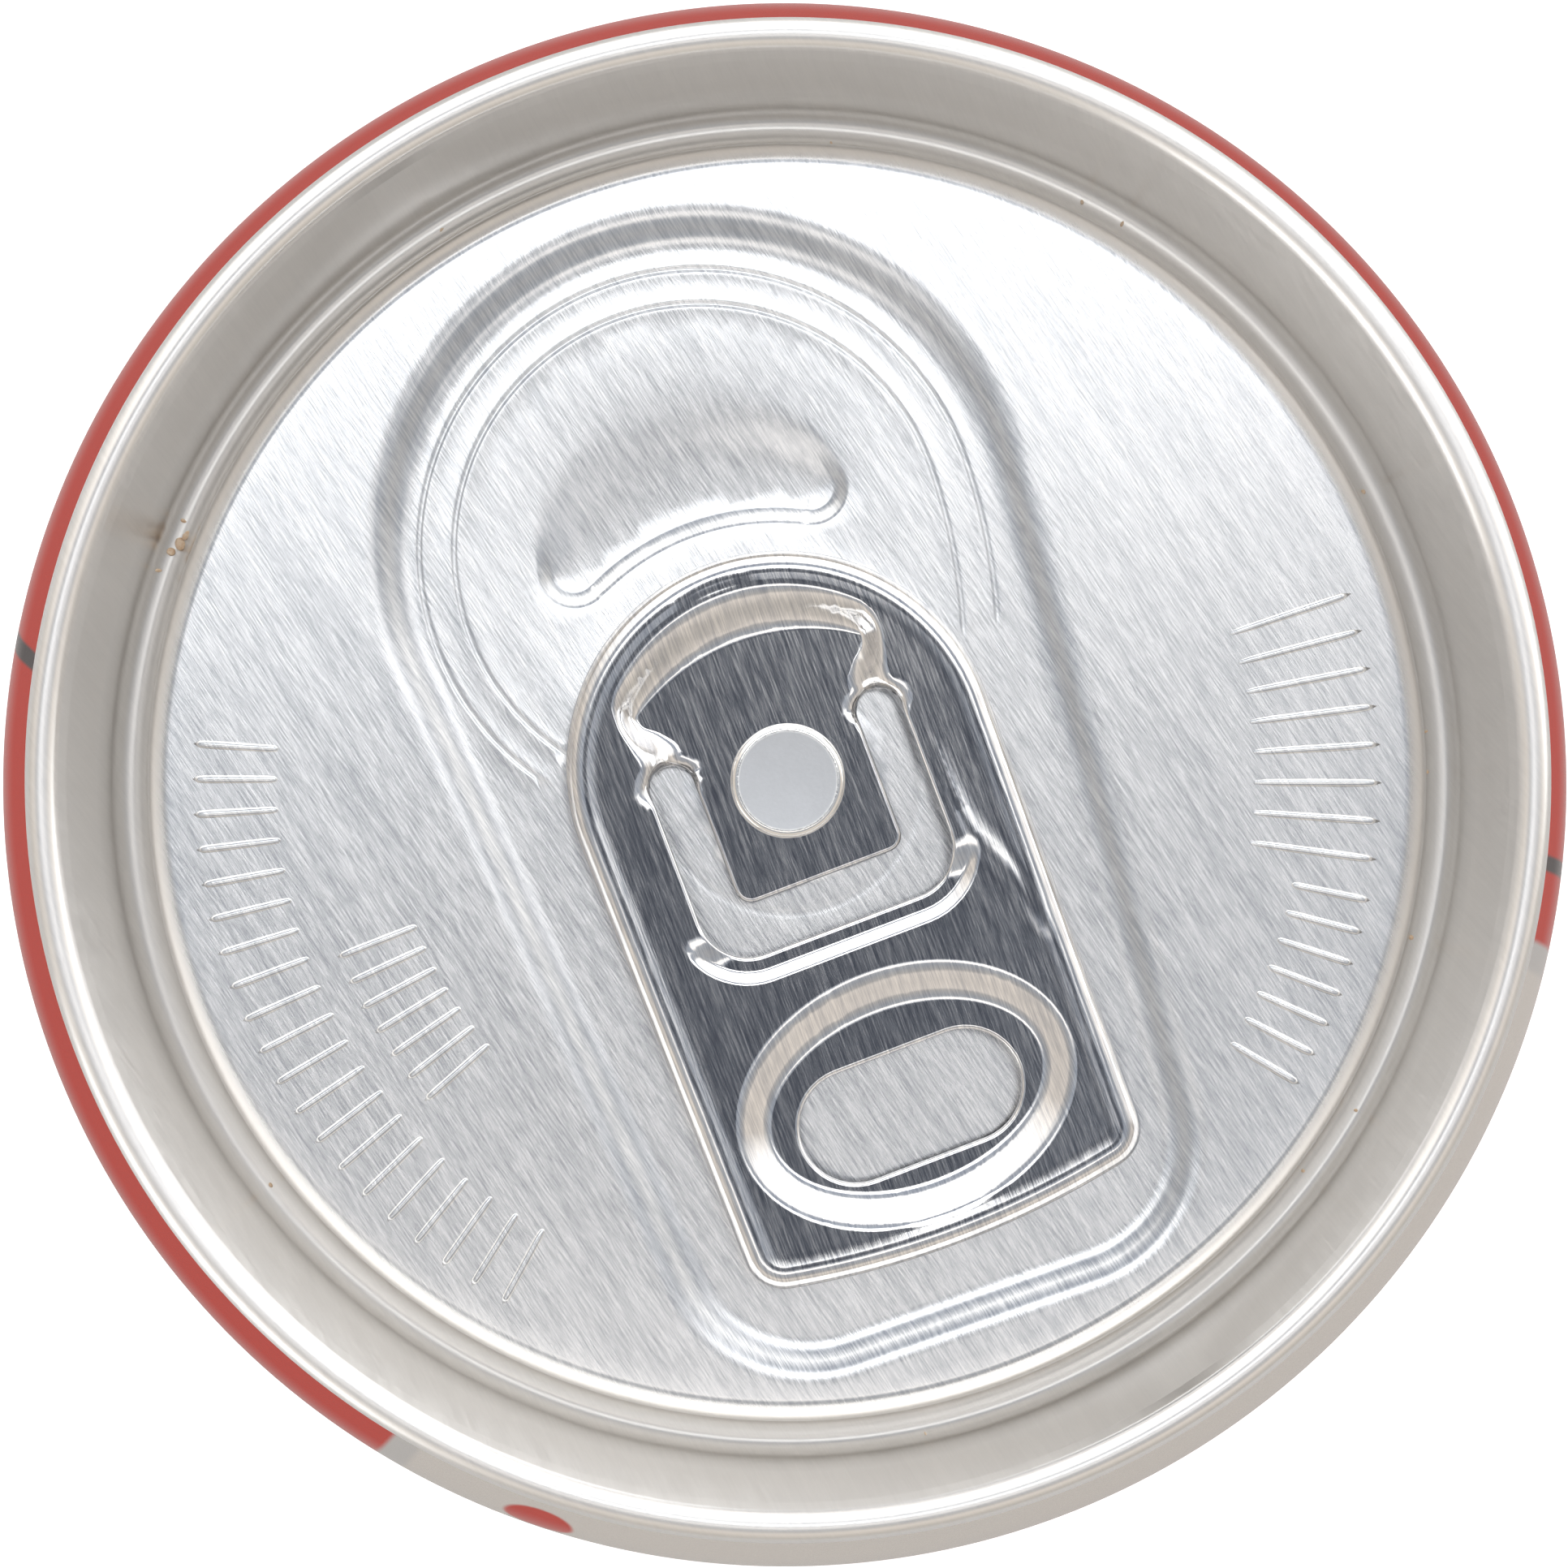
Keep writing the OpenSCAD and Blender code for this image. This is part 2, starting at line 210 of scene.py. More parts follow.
def depth_in(points, loop):
    """Distance inside a loop; negative outside it."""
    gap = gap_to_line(points, loop)
    return np.where(inside(points, loop), gap, -gap)


def pressed(t, soft=0.22):
    """A press slope from 0 to 1: straight, with a small rounding at each end."""
    t = np.clip(t, 0, 1)
    low = t**2 / (2 * soft * (1 - soft))
    high = 1 - (1 - t) ** 2 / (2 * soft * (1 - soft))
    return np.where(t < soft, low, np.where(t > 1 - soft, high, (t - soft / 2) / (1 - soft)))


def eased(t):
    t = np.clip(t, 0, 1)
    return t * t * (3 - 2 * t)


def rounding(gap, r):
    """How far a rounded edge of radius r has dropped at a distance from the edge."""
    short = np.clip(r - gap, 0, r)
    return r - np.sqrt(np.maximum(r * r - short * short, 0))


def shifted(line, amount, closed=True):
    """A line moved sideways, to its left, by an amount that may differ from point to point."""
    p = np.array(line)
    if closed:
        along = np.roll(p, -1, axis=0) - np.roll(p, 1, axis=0)
    else:
        along = np.gradient(p, axis=0)
    along /= np.maximum(np.hypot(*along.T), 1e-9)[:, None]
    left = np.stack([-along[:, 1], along[:, 0]], axis=1)
    moved = p + left * np.broadcast_to(amount, len(p))[:, None]
    return [tuple(q) for q in moved]


def plan_mesh(loops, lines, grid_gap, box, keep):
    """Triangles in plan that follow every loop and line, with a loose grid between them."""
    points, edges = [], []
    for line, closed in [(loop, True) for loop in loops] + [(line, False) for line in lines]:
        first = len(points)
        points += line
        edges += [(first + i, first + i + 1) for i in range(len(line) - 1)]
        if closed:
            edges.append((len(points) - 1, first))
    xs = np.arange(box[0], box[1], grid_gap)
    ys = np.arange(box[2], box[3], grid_gap * 0.866)
    grid = np.array([(x + (row % 2) * grid_gap / 2, y) for row, y in enumerate(ys) for x in xs])
    nearest = np.min([gap_to_line(grid, loop) for loop in loops], axis=0)
    for line in lines:
        nearest = np.minimum(nearest, gap_to_line(grid, line, closed=False))
    points += [tuple(p) for p in grid[(nearest > grid_gap * 0.45) & keep(grid)]]
    made = delaunay_2d_cdt([Vector(p) for p in points], edges, [], 0, 1e-5)
    flat = np.array([tuple(v) for v in made[0]])
    tris = np.array(made[2])
    return flat, tris[keep(flat[tris].mean(axis=1))]


# ---------- making objects ----------

def mesh_object(name, verts, faces):
    """A smooth closed mesh from points in millimetres, doubles merged and faces turned outwards."""
    mesh = bpy.data.meshes.new(name)
    mesh.from_pydata([tuple(c * MM for c in v) for v in verts], [], faces)
    bm = bmesh.new()
    bm.from_mesh(mesh)
    bmesh.ops.remove_doubles(bm, verts=bm.verts, dist=1e-7)
    loose = [v for v in bm.verts if not v.link_faces]
    bmesh.ops.delete(bm, geom=loose, context="VERTS")
    bmesh.ops.recalc_face_normals(bm, faces=bm.faces)
    for face in bm.faces:
        face.smooth = True
    for edge in bm.edges:
        edge.smooth = edge.calc_face_angle(0.0) < CRISP_ANGLE
    bm.to_mesh(mesh)
    bm.free()
    obj = bpy.data.objects.new(name, mesh)
    bpy.context.collection.objects.link(obj)
    return obj


def boundary_edges(tris):
    """Directed edges that only one triangle uses."""
    seen = set()
    for t in tris:
        for i in range(3):
            seen.add((int(t[i]), int(t[(i + 1) % 3])))
    return [e for e in seen if (e[1], e[0]) not in seen]


def finished(obj, slot, material, *nodes):
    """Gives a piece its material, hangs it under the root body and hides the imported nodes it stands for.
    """
    obj.data.materials.clear()
    obj.data.materials.append(material)
    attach(obj, "root")
    if nodes:
        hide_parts(*nodes)
    return obj


# ---------- profiles, as [radius, height] ----------

chuck_sin, chuck_cos = math.sin(math.radians(chuck_lean)), math.cos(math.radians(chuck_lean))
chuck_run = (bend_z - groove_z + groove_r * chuck_sin) / chuck_cos
groove_x = bend_r - chuck_run * chuck_sin - groove_r * chuck_cos
panel_r = groove_x - groove_r - panel_bend_r
under_start = (bend_r - (bend_z - seam_z) * chuck_sin / chuck_cos + sheet / chuck_cos, seam_z)


def base_profile():
    dome_mid = dome_h - dome_r
    bend_x = foot_r - foot_flat / 2 - foot_nose_r - dome_bend_r
    bend_up = math.sqrt((dome_r - dome_bend_r) ** 2 - bend_x**2)
    edge = math.degrees(math.atan2(bend_up, bend_x))
    out_x = foot_r + foot_flat / 2
    slope = math.radians(base_slope)
    start = (out_x + foot_nose_r * math.sin(slope), foot_nose_r * (1 - math.cos(slope)))
    end_x = body_r - base_bend_r * (1 - math.sin(slope))
    wall = start[1] + (end_x - start[0]) * math.tan(slope) + base_bend_r * math.cos(slope)
    return (
        arc((0, dome_mid), dome_r, 90, edge, 24)
        + arc((bend_x, dome_mid + bend_up), dome_bend_r, edge, 0, 12)
        + arc((foot_r - foot_flat / 2, foot_nose_r), foot_nose_r, 180, 270, 12)
        + arc((out_x, foot_nose_r), foot_nose_r, 270, 270 + base_slope, 8)
        + arc((body_r - base_bend_r, wall), base_bend_r, 270 + base_slope, 360, 20)
    )


def shoulder_profile():
    neck_z = seam_z - neck_len
    lean = math.radians(shoulder_lean)
    bends = neck_bend_r + shoulder_bend_r
    straight = (body_r - neck_r - bends * (1 - math.cos(lean))) / math.tan(lean)
    shoulder_z = neck_z - bends * math.sin(lean) - straight
    return (
        arc((body_r - shoulder_bend_r, shoulder_z), shoulder_bend_r, 0, shoulder_lean, 10)
        + arc((neck_r + neck_bend_r, neck_z), neck_bend_r, 180 + shoulder_lean, 180, 10)
        + [(neck_r, seam_z)]
    )


def dish_profile(out):
    """From the inner wall down through the groove to the panel's edge."""
    return arc((groove_x, groove_z), groove_r + out, -chuck_lean, -180, 22) + arc(
        (panel_r, panel_z - crown - panel_bend_r), panel_bend_r - out, 0, 90, 12
    )


def rim_profile():
    lip = arc((seam_r - seam_lip_r, seam_z + seam_lip_r), seam_lip_r, -90, 0, 6)
    crest = arc((seam_r - seam_crest_r, can_h - seam_crest_r), seam_crest_r, 0, 180, 20)
    return [under_start] + lip + crest + [(bend_r + 0.03, bend_z + 0.35), (bend_r, bend_z)]


# ---------- geometry nodes ----------

def node_tree(name, inputs):
    """An empty geometry tree with a geometry input and output and the named inputs given."""
    tree = bpy.data.node_groups.new(name, "GeometryNodeTree")
    tree.interface.new_socket("Geometry", in_out="INPUT", socket_type="NodeSocketGeometry")
    for label, kind, value in inputs:
        socket = tree.interface.new_socket(label, in_out="INPUT", socket_type=kind)
        if value is not None:
            socket.default_value = value
    tree.interface.new_socket("Geometry", in_out="OUTPUT", socket_type="NodeSocketGeometry")
    start = tree.nodes.new("NodeGroupInput")
    finish = tree.nodes.new("NodeGroupOutput")
    return tree, start, finish


def add(tree, kind, **settings):
    node = tree.nodes.new(kind)
    for key, value in settings.items():
        setattr(node, key, value)
    return node


def maths(tree, operation, *values):
    node = add(tree, "ShaderNodeMath", operation=operation)
    for socket, value in zip(node.inputs, values):
        if isinstance(value, (int, float)):
            socket.default_value = value
        else:
            tree.links.new(value, socket)
    return node.outputs[0]


def chained(tree, *nodes):
    """Links the first output of each node to the first input of the next."""
    for before, after in zip(nodes, nodes[1:]):
        tree.links.new(before.outputs[0], after.inputs[0])


def named_number(tree, name):
    """A number that every point carries under that name."""
    node = add(tree, "GeometryNodeInputNamedAttribute", data_type="FLOAT")
    node.inputs["Name"].default_value = name
    return node.outputs["Attribute"]


def grown(name, tree, start_mesh, values):
    """Runs a tree on a mesh and keeps the result as a plain mesh object."""
    obj = bpy.data.objects.new(name, start_mesh)
    bpy.context.collection.objects.link(obj)
    modifier = obj.modifiers.new(tree.name, "NODES")
    modifier.node_group = tree
    for item in tree.interface.items_tree:
        if item.in_out == "INPUT" and item.name in values:
            modifier[item.identifier] = values[item.name]
    depsgraph = bpy.context.evaluated_depsgraph_get()
    mesh = bpy.data.meshes.new_from_object(obj.evaluated_get(depsgraph), depsgraph=depsgraph)
    obj.modifiers.clear()
    obj.data = mesh
    mesh.name = name
    return obj


def turning_tree():
    """Turns a profile about Z: a circle of the middle radius carries the profile round."""
    tree, start, finish = node_tree("turned_profile", [
        ("Middle radius", "NodeSocketFloat", 0.01),
        ("Steps", "NodeSocketInt", TURN_STEPS),
        ("Material", "NodeSocketMaterial", None),
    ])
    path = add(tree, "GeometryNodeCurvePrimitiveCircle")
    profile = add(tree, "GeometryNodeMeshToCurve")
    sweep = add(tree, "GeometryNodeCurveToMesh")
    merge = add(tree, "GeometryNodeMergeByDistance")
    merge.inputs["Distance"].default_value = 1e-7
    smooth = add(tree, "GeometryNodeSetShadeSmooth")
    realize = add(tree, "GeometryNodeRealizeInstances")
    paint = add(tree, "GeometryNodeSetMaterial")
    link = tree.links.new
    link(start.outputs["Middle radius"], path.inputs["Radius"])
    link(start.outputs["Steps"], path.inputs["Resolution"])
    chained(tree, start, profile)
    link(profile.outputs["Curve"], sweep.inputs["Profile Curve"])
    link(start.outputs["Material"], paint.inputs["Material"])
    chained(tree, path, sweep, merge, smooth, realize, paint, finish)
    return tree


def turned(name, profile, material):
    """A closed solid of revolution; the profile runs from the axis round to the axis."""
    middle = 10.0
    mesh = bpy.data.meshes.new(name + "_profile")
    points = [((r - middle) * MM, -z * MM, 0) for r, z in profile]
    mesh.from_pydata(points, [(i, i + 1) for i in range(len(points) - 1)], [])
    obj = grown(name, turning_tree(), mesh, {
        "Middle radius": middle * MM, "Steps": TURN_STEPS, "Material": material,
    })
    bm = bmesh.new()
    bm.from_mesh(obj.data)
    bmesh.ops.remove_doubles(bm, verts=bm.verts, dist=1e-7)
    bmesh.ops.recalc_face_normals(bm, faces=bm.faces)
    bm.to_mesh(obj.data)
    bm.free()
    return obj


# ---------- materials ----------

class Shader:
    """A small helper that builds one material's nodes."""

    def __init__(self, name):
        self.material = bpy.data.materials.new(name)
        self.material.use_nodes = True
        self.tree = self.material.node_tree
        self.nodes, self.links = self.tree.nodes, self.tree.links
        self.main = self.nodes["Principled BSDF"]
        self.place = self.nodes.new("ShaderNodeTexCoord").outputs["Object"]

    def plug(self, value, socket):
        if isinstance(value, bpy.types.NodeSocket):
            self.links.new(value, socket)
        elif value is not None:
            socket.default_value = value

    def set(self, **values):
        for key, value in values.items():
            self.plug(value, self.main.inputs[key.replace("_", " ")])

    def math(self, operation, a, b=None, c=None, clamp=False):
        node = self.nodes.new("ShaderNodeMath")
        node.operation, node.use_clamp = operation, clamp
        for value, socket in zip((a, b, c), node.inputs):
            self.plug(value, socket)
        return node.outputs[0]

    def xyz(self):
        node = self.nodes.new("ShaderNodeSeparateXYZ")
        self.links.new(self.place, node.inputs[0])
        return node.outputs

    def from_axis(self):
        """Distance from the Z axis."""
        x, y, _ = self.xyz()
        return self.math("SQRT", self.math("ADD", self.math("MULTIPLY", x, x), self.math("MULTIPLY", y, y)))

    def noise(self, size, turn=0.0, detail=2.0, rough=0.5, shift=0.0):
        """Noise from 0 to 1 whose grains have that (x, y, z) size in millimetres, turned about Z."""
        spread = self.nodes.new("ShaderNodeMapping")
        spread.vector_type = "TEXTURE"
        spread.inputs["Location"].default_value = (shift * MM,) * 3
        spread.inputs["Rotation"].default_value = (0, 0, math.radians(turn))
        spread.inputs["Scale"].default_value = [s * MM for s in size]
        node = self.nodes.new("ShaderNodeTexNoise")
        node.inputs["Scale"].default_value = 1.0
        node.inputs["Detail"].default_value = detail
        node.inputs["Roughness"].default_value = rough
        self.links.new(self.place, spread.inputs["Vector"])
        self.links.new(spread.outputs[0], node.inputs["Vector"])
        return node.outputs["Fac"]

    def ranged(self, value, low, high, to_low, to_high, smooth=False):
        node = self.nodes.new("ShaderNodeMapRange")
        node.interpolation_type = "SMOOTHSTEP" if smooth else "LINEAR"
        for socket, number in zip(node.inputs, (value, low, high, to_low, to_high)):
            self.plug(number, socket)
        return node.outputs[0]

    def mix(self, share, a, b):
        """Colour a where share is 0 and b where it is 1."""
        node = self.nodes.new("ShaderNodeMix")
        node.data_type = "RGBA"
        self.plug(share, node.inputs["Factor"])
        for value, key in ((a, 6), (b, 7)):
            linked = isinstance(value, bpy.types.NodeSocket)
            self.plug(value if linked else (*value, 1), node.inputs[key])
        return node.outputs[2]

    def bump(self, height, distance, strength=1.0):
        node = self.nodes.new("ShaderNodeBump")
        node.inputs["Strength"].default_value = strength
        node.inputs["Distance"].default_value = distance * MM
        self.links.new(height, node.inputs["Height"])
        self.set(Normal=node.outputs[0])

    def grain(self):
        """Lets the shine follow the rolling direction kept in the piece's own map."""
        node = self.nodes.new("ShaderNodeTangent")
        node.direction_type = "UV_MAP"
        node.uv_map = "grain"
        self.set(Tangent=node.outputs[0])


def rolled_sheet(name, bright, dull, rough, turn, streak, deep, anisotropy, formed_from=None):
    """Rolled aluminium: fine dashes along the rolling direction, in tone, roughness and height.

    Past the radius formed_from the sheet was bent and rubbed: its dashes fade and it turns satin, with
    painted shade that darkens it towards the bottom of the groove.
    """
    s = Shader(name)
    fine = s.noise((streak[0], streak[1], 60), turn, detail=3.0, rough=0.62)
    broad = s.noise((streak[0] * 9, streak[1] * 9, 60), turn, detail=2.0, shift=7.0)
    both = s.math("MULTIPLY_ADD", broad, 0.3, s.math("MULTIPLY", fine, 0.7))
    tone = s.mix(s.ranged(both, 0.36, 0.62, 0.0, 1.0), dull, bright)
    shine = s.ranged(fine, 0.3, 0.7, rough[0], rough[1])
    height = fine
    if formed_from:
        formed = s.ranged(s.from_axis(), formed_from * MM, (formed_from + 0.5) * MM, 0.0, 1.0, smooth=True)
        z = s.xyz()[2]
        # Painted shade: the satin tone is darker towards the bottom of the groove and lightest from just
        # under the panel's level upwards.
        groove_shade = s.ranged(z, (groove_z - groove_r) * MM, (panel_z - 0.6) * MM, 0.0, 1.0)
        satin = s.mix(groove_shade, (0.74, 0.715, 0.68), (0.95, 0.935, 0.915))
        tone = s.mix(s.math("MULTIPLY", formed, 0.85), tone, satin)
        shine = s.math("MULTIPLY_ADD", formed, 0.10, shine)
        height = s.math("MULTIPLY", fine, s.math("MULTIPLY_ADD", formed, -0.7, 1.0))
    s.set(Base_Color=tone, Metallic=1.0, Roughness=shine, Anisotropic=anisotropy)
    s.bump(height, deep)
    s.grain()
    return s.material


def can_print():
    """Red ink over bare metal, with a silver field at the front, slanted edges and thin plain lines."""
    s = Shader("can_print_ink")
    x, y, z = s.xyz()
    turn = s.math("ARCTAN2", x, s.math("MULTIPLY", y, -1.0))
    degrees = s.math("MULTIPLY", turn, 180 / math.pi)
    up = s.math("MULTIPLY", z, 1 / MM)
    slanted = s.math("MULTIPLY_ADD", s.math("SUBTRACT", up, slant_z), slant, degrees)

    def stripe(value, middle, half, soft):
        away = s.math("ABSOLUTE", s.math("SUBTRACT", value, middle))
        return s.ranged(away, half - soft, half + soft, 1.0, 0.0, smooth=True)

    rise = s.math("SINE", s.math("MULTIPLY", up, 2 * math.pi / wave_len))
    waved = s.math("ADD", slanted, s.math("MULTIPLY", rise, wave_swing))
    silver = stripe(waved, silver_at, silver_half, 0.35)
    edge = stripe(waved, silver_at, edge_half, 0.3)
    low_line = stripe(waved, low_line_at, 0.6, 0.2)
    past_line = s.math("WRAP", s.math("ADD", slanted, -dark_line_at), 180.0, -180.0)
    dark_line = stripe(past_line, 0.0, 0.7, 0.2)
    flecks = s.noise((0.05, 0.05, 0.6), detail=3.0, rough=0.6)
    fleck = s.ranged(flecks, 0.3, 0.7, 0.0, 1.0)
    red = s.mix(fleck, (0.66, 0.030, 0.010), (0.80, 0.046, 0.018))
    plain = s.mix(fleck, (0.80, 0.75, 0.70), (0.92, 0.87, 0.81))
    bare = s.mix(fleck, (0.70, 0.70, 0.71), (0.84, 0.84, 0.85))
    edged = s.mix(edge, red, (0.72, 0.70, 0.68))
    drop_x = s.math("MULTIPLY", s.math("ADD", degrees, -drop_at), 0.42)
    drop_y = s.math("SUBTRACT", up, drop_z)
    from_drop = s.math("ADD", s.math("POWER", drop_x, 2.0), s.math("POWER", drop_y, 2.0))
    dropped = s.ranged(from_drop, 1.0, 1.5, 1.0, 0.0, smooth=True)
    field = s.mix(dropped, s.mix(silver, edged, plain), red)
    lined = s.mix(s.math("MAXIMUM", dark_line, low_line), field, (0.09, 0.075, 0.075))
    printed = s.ranged(up, print_low_z - 0.1, print_low_z + 0.1, 0.0, 1.0)
    s.set(Base_Color=s.mix(printed, bare, lined), Metallic=1.0)
    s.set(Roughness=s.ranged(flecks, 0.3, 0.7, 0.18, 0.26), Coat_Weight=0.05, Coat_Roughness=0.1)
    s.bump(flecks, 0.004)
    return s.material


def coined_head(name, colour, rough):
    """Coined rivet head: a matt, slightly mottled face and a polished rounded rim."""
    s = Shader(name)
    face = s.ranged(s.from_axis(), (rivet_r - 0.34) * MM, (rivet_r - 0.24) * MM, 1.0, 0.0)
    mottle = s.noise((0.12, 0.12, 0.12), detail=3.0)
    cloud = s.noise((0.9, 0.9, 0.9), detail=2.0)
    blotch = s.math("MULTIPLY_ADD", mottle, 0.5, s.math("MULTIPLY", cloud, 0.5))
    matt = s.mix(blotch, [c * 0.82 for c in colour], colour)
    s.set(Base_Color=s.mix(face, (0.93, 0.92, 0.90), matt), Metallic=1.0)
    s.set(Roughness=s.math("MULTIPLY_ADD", face, rough, s.ranged(mottle, 0.3, 0.7, 0.1, 0.16)))
    s.bump(mottle, 0.004)
    return s.material


def crumb_dirt():
    """Dry brown crumbs, lighter and darker in spots."""
    s = Shader("crumb_dirt")
    tone = s.noise((0.15, 0.15, 0.15), detail=2.0)
    s.set(Base_Color=s.mix(tone, (0.60, 0.34, 0.15), (0.92, 0.82, 0.68)), Roughness=0.85)
    s.bump(tone, 0.03)
    return s.material


def add_grain(obj, turn):
    """Keeps the rolling direction on the piece: U runs across the streaks, and the shine spreads along U."""
    layer = obj.data.uv_layers.new(name="grain")
    places = np.empty(len(obj.data.vertices) * 3)
    obj.data.vertices.foreach_get("co", places)
    places = places.reshape(-1, 3) / MM
    corners = np.empty(len(obj.data.loops), int)
    obj.data.loops.foreach_get("vertex_index", corners)
    along = math.radians(turn)
    u = places[:, 0] * math.cos(along) + places[:, 1] * math.sin(along)
    v = -places[:, 0] * math.sin(along) + places[:, 1] * math.cos(along)
    flat = np.stack([u, v], axis=1)[corners] / 60 + 0.5
    layer.data.foreach_set("uv", flat.ravel())


# ---------- lid ----------

def recess_loop(inset):
    """Outline of the pressed recess: mouth arc, straight flanks and two heel corners."""
    heel_x, heel_mid_y, heel_r = 4.6, -15.3, 5.6
    run_x, run_y = heel_x, heel_mid_y - mouth_y
    tangent = math.degrees(
        math.atan2(run_y, run_x) + math.acos((mouth_r - heel_r) / math.hypot(run_x, run_y))
    )
    half = (
        arc((heel_x, heel_mid_y), heel_r - inset, -90, tangent, 24)
        + arc((0, mouth_y), mouth_r - inset, tangent, 90, 60)
    )
    return half + mirrored(half[:-1])[::-1]


def bean_loop():
    """Outline of the bean-shaped bead: round top, two lobes and a hollow lower edge."""
    r, lobe_r, mid_y, low_mid_y = 5.9, 1.4, 9.3, 0.7
    lobe_x, lobe_y = r - lobe_r, mid_y + 0.35
    out = math.degrees(math.atan2(lobe_y - mid_y, lobe_x))
    down = math.degrees(math.atan2(lobe_y - low_mid_y, lobe_x))
    low_r = math.hypot(lobe_x, lobe_y - low_mid_y) - lobe_r
    line = (
        arc((0, mid_y), r, out, 180 - out, 50)
        + arc((-lobe_x, lobe_y), lobe_r, 180 - out, 360 - down, 16)
        + arc((0, low_mid_y), low_r, 180 - down, down, 30)
        + arc((lobe_x, lobe_y), lobe_r, 180 + down, 360 + out, 16)
    )
    return [(x + score_x, y) for x, y in line]


def score_path(r):
    """One score line: a flatter stretch up the right-hand side, then round to the left."""
    end_r = r + 12
    drop = math.degrees(math.asin(5.8 / end_r))
    return (
        arc((score_x + r - end_r, score_y), end_r, -drop, 0, 16)
        + arc((score_x, score_y), r, 0, 215, 150)[1:]
    )


def lid_heights(points):
    """Heights of the lid's panel: its top with every pressed feature, and its underside."""
    recess = depth_in(points, recess_loop(0))
    from_rivet = np.hypot(*points.T)
    top = panel_z - crown * (from_rivet / panel_r) ** 2
    top -= recess_depth * pressed(recess / recess_slope_w, 0.5)
    bean = depth_in(points, bean_loop())
    upper = eased((points[:, 1] - 9.4) / 5.0)
    top -= bean_depth * pressed(bean / (0.65 + 3.2 * upper)) * (1 - 0.85 * upper)
    top += (tab_z - floor_z) * pressed((boss_r - from_rivet) / boss_slope_w)
    top -= coin_line * np.exp(-(((from_rivet - coined_r) / 0.12) ** 2))
    inner = score_path(score_r - score_step)
    top -= tear_fall * eased(depth_in(points, inner) / tear_fall_w)
    under = top - sheet
    for path in (score_path(score_r), inner):
        gap = gap_to_line(points, path, closed=False)
        top -= score_depth * np.clip(1 - gap / (score_w / 2), 0, 1)
        top += coin_line * np.exp(-(((gap - 0.15) / 0.06) ** 2))
    return top, under


def make_lid(metal, turn):
    """One closed sheet: rim and groove turned about Z, the panel as triangles that follow its lines."""
    rim = rim_profile() + dish_profile(0)
    ring = rim + dish_profile(sheet)[::-1]
    steps = TURN_STEPS
    angles = [2 * math.pi * i / steps for i in range(steps)]
    verts = [(r * math.cos(a), r * math.sin(a), z) for r, z in ring for a in angles]
    # The panel's two sides fill the gap after this row
    panel_row = len(rim) - 1
    faces = []
    for row in range(len(ring)):
        if row == panel_row:
            continue
        below = (row + 1) % len(ring)
        for i in range(steps):
            j = (i + 1) % steps
            faces.append((row * steps + i, row * steps + j, below * steps + j, below * steps + i))

    edge = [(panel_r * math.cos(a), panel_r * math.sin(a)) for a in angles]
    loops = [edge]
    for share in (-0.05, 0, 0.12, 0.25, 0.375, 0.5, 0.625, 0.75, 0.88, 1, 1.05):
        loops.append(spaced(recess_loop(recess_slope_w * share), 0.55))
    bean = spaced(bean_loop(), 0.3)
    loops += [shifted(bean, inset) for inset in (0, 0.08, 0.16, 0.34, 0.52, 0.65)]
    for away in (-0.24, -0.12, 0, 0.12, 0.24):
        loops.append(arc((0, 0), coined_r + away, 0, 357, 119))
    for away in (0, 0.1, 0.25, 0.4, 0.5):
        loops.append(arc((0, 0), boss_r - away, 0, 356, 89))
    lines = []
    for path in (score_path(score_r), score_path(score_r - score_step)):
        path = spaced(path, 0.35, closed=False)
        for away in (-0.26, -0.16, -score_w / 2, 0, score_w / 2, 0.16, 0.26):
            lines.append(shifted(path, away, closed=False))
    reach = panel_r + 0.01

    def on_panel(points):
        return np.hypot(*points.T) < reach

    flat, tris = plan_mesh(loops, lines, 0.62, (-reach, reach, -reach, reach), on_panel)
    top, low = lid_heights(flat)
    first = len(verts)
    verts += [(x, y, z) for (x, y), z in zip(flat, top)]
    verts += [(x, y, z) for (x, y), z in zip(flat, low)]
    second = first + len(flat)
    faces += [tuple(int(i) + first for i in t) for t in tris]
    faces += [tuple(int(i) + second for i in t[::-1]) for t in tris]
    lid = mesh_object("lid", verts, faces)
    add_grain(lid, turn)
    return finished(lid, "lid_metal", metal, "end")


def make_rivet(metal):
    """Flattened rivet head with a rounded rim and a very shallow dished top."""
    tongue_top = tab_z + web_thick
    edge_r = rivet_h / 2
    head = arc((rivet_r - edge_r, tongue_top + edge_r), edge_r, -90, 90, 16)
    profile = (
        [(0, tab_z - 0.2), (shank_r, tab_z - 0.2), (shank_r, tongue_top)]
        + head
        + [(rivet_r - edge_r - 0.12, tongue_top + rivet_h - 0.012)]
        + [(0, tongue_top + rivet_h - 0.03)]
    )
    rivet = turned("rivet", profile, metal)
    return finished(rivet, "lid_metal", metal)


# ---------- tab ----------

def tab_loop(inset=0.0):
    """The tab's outline: round nose, sides that lean in, round heel corners and a slightly bowed heel."""
    lean_cos, lean_sin = math.cos(math.radians(side_lean)), math.sin(math.radians(side_lean))
    bow_y = heel_y + heel_bow_r
    corner_in = nose_r - heel_corner_r
    bow_up = bow_y - nose_y
    side_len = -bow_up * lean_cos + math.sqrt(
        (heel_bow_r - heel_corner_r) ** 2 - (bow_up * lean_sin + corner_in) ** 2
    )
    corner = (
        corner_in * lean_cos - side_len * lean_sin,
        nose_y - corner_in * lean_sin - side_len * lean_cos,
    )
    bow_angle = math.degrees(math.atan2(corner[1] - bow_y, corner[0]))
    half = (
        arc((0, bow_y), heel_bow_r - inset, -90, bow_angle, 10)
        + arc(corner, heel_corner_r - inset, bow_angle, -side_lean, 10)
        + arc((0, nose_y), nose_r - inset, -side_lean, 90, 36)
    )
    return half + mirrored(half[1:-1])[::-1]


